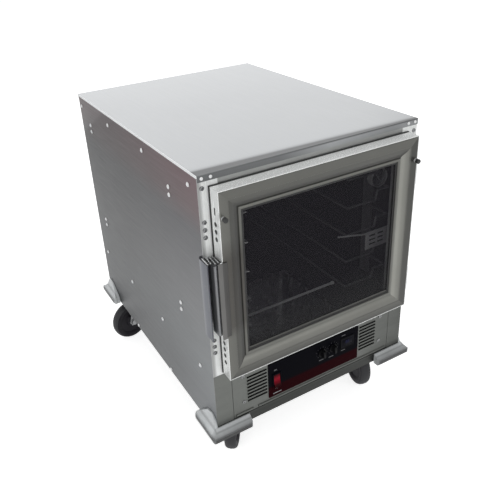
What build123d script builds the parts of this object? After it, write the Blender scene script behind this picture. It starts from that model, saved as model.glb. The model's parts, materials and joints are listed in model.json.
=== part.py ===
from build123d import *
import os
from math import cos, pi, radians, sin, sqrt

# Heated proofer cabinet: a half-height riveted aluminium body on swivel casters, a clear door in a
# moulded frame, wire pan slides, and a heater module that slides out below the door.
# All lengths are in millimetres. The parts are drawn from the middle of the body's front bottom edge:
# x to the right as seen from the front, y to the back, z up. Export moves them so that the origin
# lies on the floor, under the middle of the whole outline.

# Body
body_width = 572.0
body_depth = 762.0
body_height = 673.0
sheet = 2.0
floor_gap = 155.0
half_width = body_width / 2
wall = half_width - sheet
back_face = body_depth - sheet
back_inside = back_face - sheet
back_flange = 16.0
top_skin = body_height - sheet
top_flange_low = 631.0

# Folded front frame
post_width = 44.5
opening_half = half_width - post_width
fold = 25.0
base_rail_height = 27.0
post_split = 178.0
sill_low = 157.0
sill_high = 205.0
header_low = 620.0
lip_low = 659.0

# Door: outline, faces and window seat
door_left = -262.5
door_right = 258.0
door_low = 185.0
door_high = 646.5
door_back = -6.0
door_face = -38.0
edge_band = 1.5
frame_width = 52.0
glass_seat = 46.3
glass_front = -26.0
glass_back = -21.0
edge_holes = (226.0, 245.0, 262.0, 279.0, 537.0, 554.0, 571.0)
edge_hole_radius = 2.6

# Seal on the cabinet face, a little larger than the door
seal_margin = 1.0
seal_width = 16.0
seal_thickness = 5.5

# Stop studs near the upper door corners
stud_inset = 8.0
stud_height = 589.0
stud_length = 13.0
stud_stem = 5.0
stem_radius = 4.5
stud_radius = 5.5

# Hinges on the right
pin_x = 263.5
pin_y = -28.0
pin_radius = 2.5
knuckle_radius = 4.2
round_sides = 12
bore_sides = 16
hinge_levels = (262.0, 554.0)
hinge_height = 64.0
middle_knuckle = 24.0
leaf_thickness = 2.5
web_offset = 1.5
door_leaf_thickness = 1.0
running_gap = 0.05
end_gap = 0.3

# Latch on the left: a fixed guard on the post and a blade that turns on an upright pin
guard_left = -294.0
guard_right = -281.0
guard_reach = 30.0
guard_wall = 3.0
guard_low = 302.0
guard_high = 492.0
blade_left = -280.5
blade_thickness = 3.5
blade_front = -34.0
blade_back = -10.0
blade_low = 314.0
blade_high = 486.0
latch_pin_x = -271.0
latch_pin_y = -24.0
latch_pin_radius = 2.0
barrel_radius = 4.5
latch_ear = 5.0
latch_right = -252.0

# Pan slides: stepped wire loops on slotted uprights
slide_levels = (226.0, 302.0, 378.0, 454.0, 530.0)
slide_front = 67.0
slide_back = 700.0
slide_reach = 139.0
slide_step = 25.0
pan_clearance = 50.0
wire_radius = 3.0
wire_sides = 6
wire_from_wall = 10.0
hook_from_wall = 2.5
upright_ys = (147.0, 680.0)
upright_low = 190.0
upright_high = 630.0
upright_width = 30.0
upright_depth = 7.0
slot_pitch = 76.0

# Heater module: outline, louvres and controls
module_half = 240.5
module_low = 29.0
module_top = 154.0
module_back = 740.0
tray_half = 238.0
tray_floor = 30.0
rib_inner = 196.0
rib_outer = 228.0
louvre_count = 8
louvre_pitch = 10.2
louvre_low = 64.0
louvre_slot = 4.8
louvre_reach = 2.8
louvre_wall = 0.8
louvre_fields = ((-200.0, -145.0), (143.0, 196.0))
bead_gap = (-186.0, -172.0)
panel_left = -141.5
panel_right = 136.7
panel_low = 42.5
panel_high = 146.0
panel_thickness = 1.5
switch_x = -118.0
switch_z = 89.5
switch_half_width = 8.8
switch_half_height = 18.4
switch_tilt = 8.0
knob_places = (19.0, 54.0)
knob_z = 112.0
knob_radius = 11.5
knob_skirt = 5.0
knob_front = 16.0
grip_half_width = 3.6
grip_half_height = 10.2
disc_sides = 32
shaft_radius = 3.0
shaft_hole = 5.0
readout_x = 100.5
readout_z = 111.5
readout_half_width = 19.8
readout_half_height = 13.8

# Inside the module
water_half = 123.0
water_front = 77.0
water_back = 323.0
water_floor = 57.0
water_corner = 28.0
water_rim = 9.0
water_wall = 1.5
blower_y = 500.0
blower_radius = 60.0
blower_low = 88.0
blower_high = 133.0
blower_blades = 12
blower_plate = 2.0
blower_ring = 12.0
blower_shaft_low = 63.0
scroll_growth = 34.0
scroll_start = -20.0
scroll_turn = 250.0
intake_radius = 54.0
motor_radius = 38.0
motor_bore = 5.0
heater_radius = 4.0
inlet_x = 178.0
inlet_z = 86.0

# Dial thermometer inside the door
dial_x = 254.0
dial_z = 505.0
dial_front = 78.0
dial_radius = 26.0
dial_wall = 2.4
dial_gap = 0.1
spindle_radius = 1.0
needle_turn = -128.0

# Corner bumpers
bumper_reach = 22.0
bumper_leg = 87.0
bumper_front_top = 24.0
bumper_side_top = 54.0
bumper_low = -6.0
bumper_round = 9.0

# Casters: plate centre from the body's sides, and the way each wheel trails in degrees from x
caster_inset = 65.0
caster_trail = 37.0
wheel_radius = 63.5
wheel_half_width = 16.0
hub_radius = 14.0
axle_radius = 6.0
fork_half = 22.5
fork_plate = 3.0
race_radius = 26.0
race_low = -13.0
kingpin_low = -23.0
nut_radius = 10.0
axle_height = wheel_radius - floor_gap
caster_names = ("front_left", "front_right", "rear_left", "rear_right")
caster_turns = (53.0, 76.0, 191.5, -11.5)

door_reach = stud_length - door_face
front_shift = -(body_depth + bumper_reach - door_reach) / 2
placed = Pos(0, front_shift, floor_gap)


def block(x, y, z):
    """A box between three pairs of low and high values, given in either order."""
    sides = [sorted(pair) for pair in (x, y, z)]
    middle = [(low + high) / 2 for low, high in sides]
    return Pos(*middle) * Box(*[high - low for low, high in sides])


def along_x(points, x_low, x_high):
    """A prism along x from an outline of (y, z) points."""
    face = make_face(Polyline(*points, close=True))
    return Pos(x_low, 0, 0) * extrude(Plane.YZ * face, x_high - x_low)


def along_z(points, z_low, z_high):
    """An upright prism from an outline of (x, y) points."""
    return Pos(0, 0, z_low) * extrude(make_face(Polyline(*points, close=True)), z_high - z_low)


def bar(start, end, radius, sides):
    """A straight many-sided bar between two points."""
    way = Vector(*end) - Vector(*start)
    return extrude(Plane(origin=start, z_dir=way) * RegularPolygon(radius, sides), way.length)


def bore(start, end, radius):
    """A many-sided hole that clears a shaft of this radius at every turn."""
    return bar(start, end, (radius + running_gap) / cos(pi / bore_sides), bore_sides)


def bent_bar(points, radius):
    """A many-sided bar along straight legs with mitred bends."""
    path = Polyline(*points)
    section = Plane(origin=path @ 0, z_dir=path % 0) * RegularPolygon(radius, wire_sides)
    return sweep(section, path=path, transition=Transition.RIGHT)


def joined(shapes):
    """Loose solids kept side by side in one node."""
    return Compound(children=[solid for shape in shapes for solid in shape.solids()])


def both_sides(shape):
    """A shape and its mirror image across the cabinet's middle."""
    return joined([shape, mirror(shape, about=Plane.YZ)])


def save(name, shape):
    export_step(placed * shape, f"parts/{name}.step")


def side_panel(sign):
    """Flat side skin between the front frame and the back panel."""
    return block((sign * wall, sign * half_width), (sheet, back_face), (0, top_skin))


def top_panel():
    """Top skin with a rounded front lip, a rear lip and side flanges inside the side skins."""
    panel = block((-half_width, half_width), (-sheet, body_depth), (top_skin, body_height))
    panel += block((-half_width, half_width), (-sheet, 0), (lip_low, top_skin))
    panel += block((-half_width, half_width), (back_face, body_depth), (lip_low, top_skin))
    for sign in (-1, 1):
        flange = (sign * wall, sign * (wall - sheet))
        panel += block(flange, (fold + 5, back_inside - back_flange - 2), (top_flange_low, top_skin))
    front_edge = panel.edges().filter_by(Axis.X).group_by(Axis.Y)[0].group_by(Axis.Z)[-1]
    return fillet(front_edge, 1.5)


def back_panel():
    """Back skin with side flanges and an opening behind the module's power inlet."""
    panel = block((-wall, wall), (back_inside, back_face), (0, top_skin))
    for sign in (-1, 1):
        flange = (sign * wall, sign * (wall - sheet))
        panel += block(flange, (back_inside - back_flange, back_inside), (190, 625))
    reach = (back_inside - 1, back_face + 1)
    opening = block((inlet_x - 38, inlet_x + 38), reach, (inlet_z - 30, inlet_z + 30))
    return panel - chamfer(opening.edges().filter_by(Axis.Y), 4)


def base_pan():
    """Bottom tray: front rail, riveted flanges, and two pressed ribs that carry the module."""
    pan = block((-wall, wall), (0, back_inside), (0, sheet))
    pan += block((-half_width, half_width), (0, sheet), (0, base_rail_height))
    pan += block((-wall, wall), (sheet, 22), (base_rail_height - sheet, base_rail_height))
    pan += block((-wall, wall), (back_inside - sheet, back_inside), (0, 40))
    for sign in (-1, 1):
        pan += block((sign * wall, sign * (wall - sheet)), (fold + 5, back_inside), (0, 40))
        outer = (sign * rib_inner, sign * rib_outer)
        inner = (sign * (rib_inner + sheet), sign * (rib_outer - sheet))
        pan += block(outer, (fold + 5, module_back), (0, tray_floor))
        pan -= block(inner, (fold + 4, module_back + 1), (-1, tray_floor - sheet))
    return pan


def floor_strips():
    """Angles that close the cavity floor beside the module, riveted to the sides."""
    run = (fold + 3, back_inside - sheet)
    flat = block((opening_half, wall), run, (module_top - sheet, module_top))
    return both_sides(flat + block((wall - sheet, wall), run, (module_top, 180)))


def front_rails():
    """Header above the door opening and sill below it, each folded into the cavity."""
    across = (-opening_half, opening_half)
    header = block(across, (0, sheet), (header_low, top_skin))
    header += block(across, (sheet, sheet + fold), (header_low, header_low + sheet))
    sill = block(across, (0, sheet), (sill_low, sill_high))
    sill += block(across, (sheet, sheet + fold), (sill_high - sheet, sill_high))
    return joined([header, sill])


def front_post(low, high):
    """One right-hand length of the folded front post."""
    face = block((opening_half, half_width), (0, sheet), (low, high))
    return face + block((opening_half, opening_half + sheet), (sheet, sheet + fold), (low, high))


def ring(x, y, z, width):
    """A flat rectangular frame facing front, of one width all round."""
    inner_x = (x[0] + width, x[1] - width)
    inner_z = (z[0] + width, z[1] - width)
    return block(x, y, z) - block(inner_x, (y[0] - 1, y[1] + 1), inner_z)


def face_seal():
    """Soft seal round the opening, with bevelled front edges."""
    x = (door_left - seal_margin, door_right + seal_margin)
    z = (door_low - seal_margin, door_high + seal_margin)
    seal = ring(x, (-seal_thickness, 0), z, seal_width)
    return chamfer(seal.edges().group_by(Axis.Y)[0], 1.5)


def slide_upright(y):
    """One left-hand slotted channel that carries the ends of the pan slides."""
    face = upright_depth - wall
    low, high = y - upright_width / 2, y + upright_width / 2
    channel = block((-wall, face), (low, high), (upright_low, upright_high))
    hollow = (low + sheet, high - sheet)
    channel -= block((-wall - 1, face - sheet), hollow, (upright_low - 1, upright_high + 1))
    level = slide_levels[0] + slide_step
    while level < upright_high:
        channel -= block((face - sheet - 1, face + 1), (y - 3.5, y + 3.5), (level - 10, level + 3.5))
        level += slot_pitch
    return channel


def pan_slide(level):
    """One left-hand wire slide: a stepped loop whose ends hook into the slotted uprights."""
    high = level + slide_step
    hook = -wall + hook_from_wall
    near = -wall + wire_from_wall
    step_in = -wall + pan_clearance
    step_out = step_in - 6
    far = -wall + slide_reach
    front_hook, back_hook = upright_ys
    points = [
        (hook, front_hook, high),
        (near, front_hook, high),
        (near, slide_front, high),
        (step_out, slide_front, high),
        (step_in, slide_front, level),
        (far, slide_front, level),
        (far, slide_back, level),
        (step_in, slide_back, level),
        (step_out, slide_back, high),
        (near, slide_back, high),
        (near, back_hook, high),
        (hook, back_hook, high),
    ]
    return bent_bar(points, wire_radius)


def pan_slides(sign):
    slides = joined([pan_slide(level) for level in slide_levels])
    return slides if sign < 0 else mirror(slides, about=Plane.YZ)


def cabinet_leaf(level):
    """Leaf on the post: a flat, a web out to the pin, and two end knuckles with the pin in them."""
    low, high = level - hinge_height / 2, level + hinge_height / 2
    web = (pin_x + web_offset, pin_x + web_offset + leaf_thickness)
    leaf = block((web[0], half_width - 1), (-leaf_thickness, 0), (low, high))
    leaf += block(web, (pin_y, -leaf_thickness), (low, high))
    gap = middle_knuckle / 2
    room = knuckle_radius + 1
    leaf -= block((pin_x - room, pin_x + room), (pin_y - room, pin_y + room), (level - gap, level + gap))
    for start, end in ((low, level - gap), (level + gap, high)):
        leaf += bar((pin_x, pin_y, start), (pin_x, pin_y, end), knuckle_radius, round_sides)
    return leaf + bar((pin_x, pin_y, low), (pin_x, pin_y, high), pin_radius, round_sides)


def door_leaf(level):
    """Leaf on the door's edge, with the middle knuckle that turns on the pin."""
    low, high = level - hinge_height / 2, level + hinge_height / 2
    bottom, top = level - middle_knuckle / 2 + end_gap, level + middle_knuckle / 2 - end_gap
    leaf = block((door_right, door_right + door_leaf_thickness), (pin_y, door_back - 3), (low, high))
    leaf += block((door_right, pin_x), (pin_y - 1, pin_y + 1), (bottom, top))
    leaf += bar((pin_x, pin_y, bottom), (pin_x, pin_y, top), knuckle_radius, round_sides)
    return leaf - bore((pin_x, pin_y, low), (pin_x, pin_y, high), pin_radius)


def latch_guard():
    """Angle on the post's corner whose forward wall shields the blade, with a rounded edge."""
    points = [
        (guard_left, -guard_reach),
        (guard_left + guard_wall, -guard_reach),
        (guard_left + guard_wall, -4),
        (guard_right, -4),
        (guard_right, 0),
        (-half_width, 0),
        (-half_width, 13),
        (-half_width - sheet, 13),
        (guard_left, 4),
    ]
    guard = along_z(points, guard_low, guard_high)
    return fillet(guard.edges().filter_by(Axis.Z).group_by(Axis.Y)[0], 1.2)


def moulding_outline():
    """Section of the door frame: distance in from the outer edge, and depth from the front face."""
    flat = Line((0, door_back), (0, door_face + 3))
    corner = ThreePointArc((0, door_face + 3), (0.88, door_face + 0.88), (3, door_face))
    face = Polyline((3, door_face), (20, door_face), (20.6, door_face + 0.9))
    ogee = ThreePointArc((20.6, door_face + 0.9), (28.2, -36.1), (35.2, -33))
    ogee += ThreePointArc((35.2, -33), (39.3, -30.7), (44, -29.2))
    lip = Polyline((44, -29.2), (45, -31), (50.5, -31.3), (frame_width, -30), (frame_width, -28.5))
    seat = Polyline(
        (frame_width, -28.5),
        (glass_seat, -28.5),
        (glass_seat, glass_back),
        (frame_width - 1, glass_back),
        (frame_width - 1, glass_back + 2),
        (44, glass_back + 2),
        (44, -14),
        (40, door_back),
        (0, door_back),
    )
    hollow = Polyline(
        (2.5, -8.5),
        (2.5, -34),
        (4.5, -35.5),
        (19.5, -35.5),
        (30, -32.5),
        (42, -26.5),
        (44, -26.5),
        (44, -22),
        (41.5, -19.5),
        (41.5, -14.6),
        (38.4, -8.5),
        close=True,
    )
    return make_face(flat + corner + face + ogee + lip + seat) - make_face(hollow)


def mitred_rail(length):
    """A frame member lying on x from 0, its outer edge down, with both ends cut at 45 degrees."""
    section = Plane(origin=(0, 0, 0), x_dir=(0, 0, 1), z_dir=(1, 0, 0)) * moulding_outline()
    rail = extrude(section, length, dir=(1, 0, 0))
    if rail.bounding_box().max.Y > 0:
        rail = mirror(rail, about=Plane.XZ)
    reach = frame_width + 10
    keep = make_face(Polyline((0, 0), (length, 0), (length - reach, reach), (reach, reach), close=True))
    return rail & extrude(Plane.XZ * keep, 100, both=True)


def door_frame():
    """Four mitred members of the moulded frame, inside the edge bands."""
    left, right = door_left + edge_band, door_right - edge_band
    low, high = door_low + edge_band, door_high - edge_band
    wide, tall = mitred_rail(right - left), mitred_rail(high - low)
    lower = Pos(left, 0, low) * wide
    upper = Pos(right, 0, high) * Rot(0, 180, 0) * wide
    hinge_side = Pos(right, 0, low) * Rot(0, -90, 0) * tall
    latch_side = Pos(left, 0, high) * Rot(0, 90, 0) * tall
    return joined([lower, upper, hinge_side, latch_side])


def door_edges():
    """Thin bands round the door's rim; the latch side has the spare hinge holes."""
    depth = (door_face + 1, door_back)
    inside = (door_left + edge_band, door_right - edge_band)
    latch_side = block((door_left, inside[0]), depth, (door_low, door_high))
    bands = [
        block((inside[1], door_right), depth, (door_low, door_high)),
        block(inside, depth, (door_high - edge_band, door_high)),
        block(inside, depth, (door_low, door_low + edge_band)),
    ]
    for z in edge_holes:
        hole = Plane.YZ * Pos(-20, z) * RegularPolygon(edge_hole_radius, 8)
        latch_side -= Pos(door_left - 1, 0, 0) * extrude(hole, edge_band + 2)
    slot = block((door_left - 1, inside[0] + 1), (-22, -18), (592, 606))
    latch_side -= chamfer(slot.edges().filter_by(Axis.X), 1.5)
    return joined([latch_side, *bands])


def window():
    inset = edge_band + glass_seat
    x = (door_left + inset, door_right - inset)
    return block(x, (glass_front, glass_back), (door_low + inset, door_high - inset))


def window_seal():
    """Soft bead between the frame's lip and the window."""
    inset = edge_band + glass_seat
    x = (door_left + inset, door_right - inset)
    return ring(x, (-28.5, glass_front), (door_low + inset, door_high - inset), 10.5)


def door_studs():
    """Stop studs near the door's upper corners: a stem with a wider soft tip."""
    studs = []
    for x in (door_left + stud_inset, door_right - stud_inset):
        seat, step, tip = [(x, door_face - out, stud_height) for out in (0, stud_stem, stud_length)]
        stem, soft = bar(seat, step, stem_radius, round_sides), bar(step, tip, stud_radius, round_sides)
        studs.append(stem + chamfer(soft.edges().group_by(Axis.Y)[0], 1))
    return joined(studs)


def latch_body():
    """Angle round the door's edge, with an ear at each end that holds the upright pin."""
    low, high = blade_low - end_gap - latch_ear, blade_high + end_gap + latch_ear
    side = door_left - sheet
    points = [
        (door_left, -12),
        (side, -12),
        (side, door_face - sheet + 1),
        (side + 1, door_face - sheet),
        (latch_right - 1, door_face - sheet),
        (latch_right, door_face - sheet + 1),
        (latch_right, door_face),
        (door_left, door_face),
    ]
    body = along_z(points, low, high)
    arm = (latch_pin_y - barrel_radius, latch_pin_y + barrel_radius)
    for start in (low, blade_high + end_gap):
        end = start + latch_ear
        foot, head = (latch_pin_x, latch_pin_y, start), (latch_pin_x, latch_pin_y, end)
        body += bar(foot, head, barrel_radius, round_sides)
        body += block((latch_pin_x, side), arm, (start, end))
    foot, head = (latch_pin_x, latch_pin_y, low), (latch_pin_x, latch_pin_y, high)
    return body + bar(foot, head, latch_pin_radius, round_sides)


def latch_handle():
    """Blade with a thick rounded front edge, on a barrel round the upright pin."""
    blade_right = blade_left + blade_thickness
    points = [
        (blade_left, blade_back),
        (blade_left, blade_front + 1),
        (blade_left + 1, blade_front),
        (blade_right + 2, blade_front),
        (blade_right + 3, blade_front + 1),
        (blade_right + 3, blade_front + 4),
        (blade_right, blade_front + 7),
        (blade_right, blade_back),
    ]
    handle = along_z(points, blade_low, blade_high)
    web = (latch_pin_y - 2, latch_pin_y + 2)
    handle += block((blade_right, latch_pin_x), web, (blade_low, blade_high))
    low, high = (latch_pin_x, latch_pin_y, blade_low), (latch_pin_x, latch_pin_y, blade_high)
    handle += bar(low, high, barrel_radius, round_sides)
    return handle - bore(low, high, latch_pin_radius)


def dial_disc(near, far, radius):
    """A round plate between two depths behind the dial's front."""
    return bar((dial_x, dial_front + near, dial_z), (dial_x, dial_front + far, dial_z), radius, disc_sides)


def dial_case():
    """Round case open to the front, on a bracket from the right wall."""
    case = dial_disc(0, 16, dial_radius) - dial_disc(-1, 13, dial_radius - dial_wall)
    back = dial_front + 16
    height = (dial_z - 12, dial_z + 12)
    case += block((dial_x, wall), (back, back + sheet), height)
    return case + block((wall - sheet, wall), (back, back + 26), height)


def dial_face():
    """Printed plate with the spindle's hole."""
    near, far = (dial_x, dial_front + 9, dial_z), (dial_x, dial_front + 12, dial_z)
    return dial_disc(10, 13, dial_radius - dial_wall - dial_gap) - bore(near, far, spindle_radius)


def dial_lens():
    return dial_disc(1.5, 3, dial_radius - dial_wall - dial_gap)


def dial_needle():
    """Pointer with its hub and spindle."""
    outline = Polyline((-7, -1.6), (0, -1.6), (19, -0.4), (19, 0.4), (0, 1.6), (-7, 1.6), close=True)
    pointer = Rot(0, needle_turn, 0) * extrude(Plane.XZ * make_face(outline), -1)
    pointer += bar((0, -0.5, 0), (0, 2.5, 0), 2.5, round_sides)
    pointer += bar((0, 1.5, 0), (0, 5.3, 0), spindle_radius, round_sides)
    return Pos(dial_x, dial_front + 6.5, dial_z) * pointer


def module_tray():
    """Open tray of the heater module: floor, two sides and the back with the inlet's cut-out."""
    high = module_top - sheet
    tray = block((-tray_half, tray_half), (sheet, module_back), (tray_floor, tray_floor + sheet))
    tray += block((-tray_half, tray_half), (module_back - sheet, module_back), (tray_floor, high))
    for sign in (-1, 1):
        side = (sign * tray_half, sign * (tray_half - sheet))
        tray += block(side, (sheet, module_back), (tray_floor, high))
    reach = (module_back - sheet - 1, module_back + 1)
    return tray - block((inlet_x - 15, inlet_x + 15), reach, (inlet_z - 12, inlet_z + 12))


def louvre_levels():
    return [louvre_low + louvre_pitch * step for step in range(louvre_count)]


def control_cuts():
    """Room for the switch, the readout and the two shafts through a face."""
    through = (-4, 3)
    cuts = block((switch_x - 10.5, switch_x + 10.5), through, (switch_z - 20.5, switch_z + 20.5))
    x = (readout_x - readout_half_width - 0.2, readout_x + readout_half_width + 0.2)
    z = (readout_z - readout_half_height - 0.2, readout_z + readout_half_height + 0.2)
    cuts += block(x, through, z)
    for place in knob_places:
        cuts += bar((place, through[0], knob_z), (place, through[1], knob_z), shaft_hole, round_sides)
    return cuts


def louvre(left, right, z):
    """A lip pressed out from below its slot, open upwards."""
    foot = z - louvre_slot / 2
    back = louvre_wall - louvre_reach
    points = [(0.3, foot - 1.4), (0.3, foot), (back, foot + 2.6)]
    points += [(-louvre_reach, foot + 2.6), (-louvre_reach, foot + 1.2)]
    return along_x(points, left, right)


def module_front():
    """Module face with two louvre fields, the control cut-outs, side folds and a bottom bead."""
    face = block((-module_half, module_half), (0, sheet), (module_low, module_top + sheet))
    for sign in (-1, 1):
        side = (sign * module_half, sign * (tray_half + 0.3))
        face += block(side, (sheet, 14), (module_low, module_top - 3))
    bead = [(0, 31), (-2, 31.8), (-3.2, 34), (-2, 36.2), (0, 37)]
    face += along_x(bead, -module_half + 6, bead_gap[0]) + along_x(bead, bead_gap[1], module_half - 6)
    face -= control_cuts()
    for left, right in louvre_fields:
        for z in louvre_levels():
            face -= block((left, right), (-1, 3), (z - louvre_slot / 2, z + louvre_slot / 2))
    for left, right in louvre_fields:
        for z in louvre_levels():
            face += louvre(left, right, z)
    return face


def control_panel():
    """Dark overlay plate with the switch's frame set in it."""
    plate = block((panel_left, panel_right), (-panel_thickness, 0), (panel_low, panel_high))
    plate = fillet(plate.edges().filter_by(Axis.Y), 2) - control_cuts()
    x, z = (switch_x - 13, switch_x + 13), (switch_z - 23.5, switch_z + 23.5)
    bezel = block(x, (-4, -panel_thickness), z)
    bezel = chamfer(bezel.edges().group_by(Axis.Y)[0], 1)
    x, z = (switch_x - 10.4, switch_x + 10.4), (switch_z - 20.4, switch_z + 20.4)
    bezel += block(x, (-panel_thickness, 26), z)
    x = (switch_x - switch_half_width - 0.4, switch_x + switch_half_width + 0.4)
    z = (switch_z - switch_half_height - 1, switch_z + switch_half_height + 1)
    return joined([plate, bezel - block(x, (-5, 24), z)])


def power_switch():
    """Rocker with two sloping halves, lying pressed at one end."""
    half = switch_half_height
    outline = [(-3.5, 0), (-5.5, half - 1), (-4.3, half), (3, half), (7, 4), (7, -4), (3, -half)]
    outline += [(-4.3, -half), (-5.5, 1 - half)]
    rocker = along_x(outline, -switch_half_width, switch_half_width)
    return Pos(switch_x, 0, switch_z) * Rot(-switch_tilt, 0, 0) * rocker


def knob(x):
    """Bar knob on a round skirt, with its shaft running back into the thermostat."""
    seat = -panel_thickness - end_gap
    skirt = bar((0, -knob_skirt, 0), (0, seat, 0), knob_radius, disc_sides)
    across, tall = (-grip_half_width, grip_half_width), (-grip_half_height, grip_half_height)
    grip = block(across, (-knob_front, -knob_skirt), tall)
    grip = chamfer(grip.edges().group_by(Axis.Y)[0], 1)
    pointer = block((-0.7, 0.7), (-knob_front - 1, -knob_front + 0.8), (1, grip_half_height + 1))
    shaft = bar((0, seat, 0), (0, 24, 0), shaft_radius, round_sides)
    return Pos(x, 0, knob_z) * (skirt + grip - pointer + shaft)


def thermostats():
    """Switch bodies behind the face, bored for the knob shafts."""
    bodies = []
    for x in knob_places:
        body = block((x - 14, x + 14), (sheet, 30), (knob_z - 17, knob_z + 17))
        bodies.append(body - bore((x, 0, knob_z), (x, 26, knob_z), shaft_radius))
    return joined(bodies)


def readout():
    """Display block set through the panel, with a raised rim round its screen."""
    x = (readout_x - readout_half_width - 2.2, readout_x + readout_half_width + 2.2)
    z = (readout_z - readout_half_height - 2.7, readout_z + readout_half_height + 2.7)
    rim = fillet(block(x, (-3, -panel_thickness), z).edges().filter_by(Axis.Y), 2)
    x = (readout_x - readout_half_width, readout_x + readout_half_width)
    z = (readout_z - readout_half_height, readout_z + readout_half_height)
    body = rim + block(x, (-panel_thickness, 24), z)
    return body - block((readout_x - 17, readout_x + 17), (-4, -2), (readout_z - 9, readout_z + 11))


def module_deck():
    """Cover of the module and floor of the cavity: pan hole, fan grille and warm air slots."""
    through = (module_top - sheet - 1, module_top + 1)
    edge = module_half - 0.5
    deck = block((-edge, edge), (sheet, 748), (module_top - sheet, module_top))
    hole = block((-water_half - 2, water_half + 2), (water_front - 2, water_back + 2), through)
    deck -= fillet(hole.edges().filter_by(Axis.Z), water_corner + 2)
    for step in range(-3, 4):
        y = blower_y + step * 15
        half = sqrt((blower_radius - 4) ** 2 - (step * 15) ** 2)
        deck -= block((-half, half), (y - 4, y + 4), through)
    for step in range(-4, 5):
        deck -= block((step * 44 - 7, step * 44 + 7), (688, 728), through)
    return deck


def scroll_outline(inset):
    """Spiral of the blower housing in short flats, growing from the cut-off to the outlet."""
    steps = 10
    points = []
    for step in range(steps + 1):
        turn = radians(scroll_start - scroll_turn * step / steps)
        reach = blower_radius + 9 + scroll_growth * step / steps - inset
        points.append((reach * cos(turn), blower_y + reach * sin(turn)))
    mouth = 628 - inset / 2
    right = blower_radius + scroll_growth - inset
    end = points[-1]
    return make_face(Polyline(*points, (end[0] + 30, mouth), (right, mouth), close=True))


def blower_housing():
    """Scroll case with a round intake above and a mouth towards the rear slots."""
    low, high = blower_low - 4, blower_high + 5
    case = Pos(0, 0, low) * extrude(scroll_outline(0), high - low)
    case -= Pos(0, 0, low + sheet) * extrude(scroll_outline(sheet), high - low - 2 * sheet)
    case -= bar((0, blower_y, high - 4), (0, blower_y, high + 1), intake_radius, disc_sides)
    case -= bar((0, blower_y, low - 1), (0, blower_y, low + 4), motor_bore + 4, round_sides)
    return case - block((-10, 70), (615, 640), (low + 4, high - 4))


def blower_motor():
    """Round motor on the tray's floor, bored for the wheel's shaft."""
    motor = bar((0, blower_y, tray_floor + sheet), (0, blower_y, blower_low - 4), motor_radius, disc_sides)
    return motor - bore((0, blower_y, 60), (0, blower_y, 90), motor_bore)


def blower_wheel():
    """Forward-curved wheel: back plate, shaft, blades and front ring."""
    centre = (0, blower_y)
    low, high = blower_low + blower_plate, blower_high - blower_plate
    wheel = bar((*centre, blower_low), (*centre, low), blower_radius, disc_sides)
    wheel += bar((*centre, blower_shaft_low), (*centre, blower_low + 15), motor_bore, round_sides)
    front = (*centre, high), (*centre, blower_high)
    wheel += bar(*front, blower_radius, disc_sides) - bar(*front, blower_radius - blower_ring, disc_sides)
    middle = (blower_low + blower_high) / 2
    for step in range(blower_blades):
        turn = Pos(0, blower_y, middle) * Rot(0, 0, 360 * step / blower_blades)
        wheel += turn * Pos(blower_radius - 6.8, 0, 0) * Rot(0, 0, 35) * Box(11, 1.6, high - low + 1)
    return wheel


def heating_elements():
    """Two bent tube heaters on feet: one under the water pan, one below the warm air slots."""
    under, high = 46, 118
    runs = [(-95, 110), (95, 110), (95, 175), (-95, 175), (-95, 240), (95, 240)]
    pan_heater = bent_bar([(x, y, under) for x, y in runs], heater_radius)
    runs = [(-195, 694), (195, 694), (195, 722), (-195, 722)]
    air_heater = bent_bar([(x, y, high) for x, y in runs], heater_radius)
    for sign in (-1, 1):
        pan_heater += block((sign * 74, sign * 86), (105, 245), (tray_floor + sheet, under - 1))
        air_heater += block((sign * 120, sign * 130), (690, 726), (tray_floor + sheet, high - 1))
    return joined([pan_heater, air_heater])


def pan_outline(z, inset):
    """Rounded outline of the water pan at one height, drawn in by an amount on every side."""
    long = water_back - water_front - 2 * inset
    middle = (water_front + water_back) / 2
    return Pos(0, middle, z) * RectangleRounded(2 * (water_half - inset), long, water_corner - inset)


def water_pan():
    """Drawn pan with straight walls, round corners and a flat rim that hangs on the deck."""
    deep = module_top - water_floor
    pan = extrude(pan_outline(water_floor, 0), deep)
    pan += extrude(pan_outline(module_top, -water_rim), water_wall)
    return pan - extrude(pan_outline(water_floor + water_wall, water_wall), deep)


def power_inlet():
    """Recessed inlet on the module's back, with three plain blades."""
    flange = block((-24, 24), (0, 3), (-17, 17))
    flange = chamfer(flange.edges().filter_by(Axis.Y), 4)
    inlet = flange + block((-14.8, 14.8), (-26, 0), (-11.8, 11.8))
    inlet -= block((-12.5, 12.5), (-20, 4), (-9.5, 9.5))
    for x, z in ((-6.5, -2), (6.5, -2), (0, 4)):
        inlet += block((x - 1, x + 1), (-21, -3), (z - 2.2, z + 2.2))
    return Pos(inlet_x, module_back, inlet_z) * inlet


def bumper_section(top):
    """Grooved section of a bumper leg: distance outwards from the body, and height."""
    nose = bumper_reach
    return [
        (0, bumper_low),
        (16, bumper_low),
        (nose, 0),
        (nose, 7),
        (nose - 2, 8.2),
        (nose - 2, 11),
        (nose - 6, 13.2),
        (8, 12 + top * 0.28),
        (2.5, top),
        (0, top),
    ]


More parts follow.
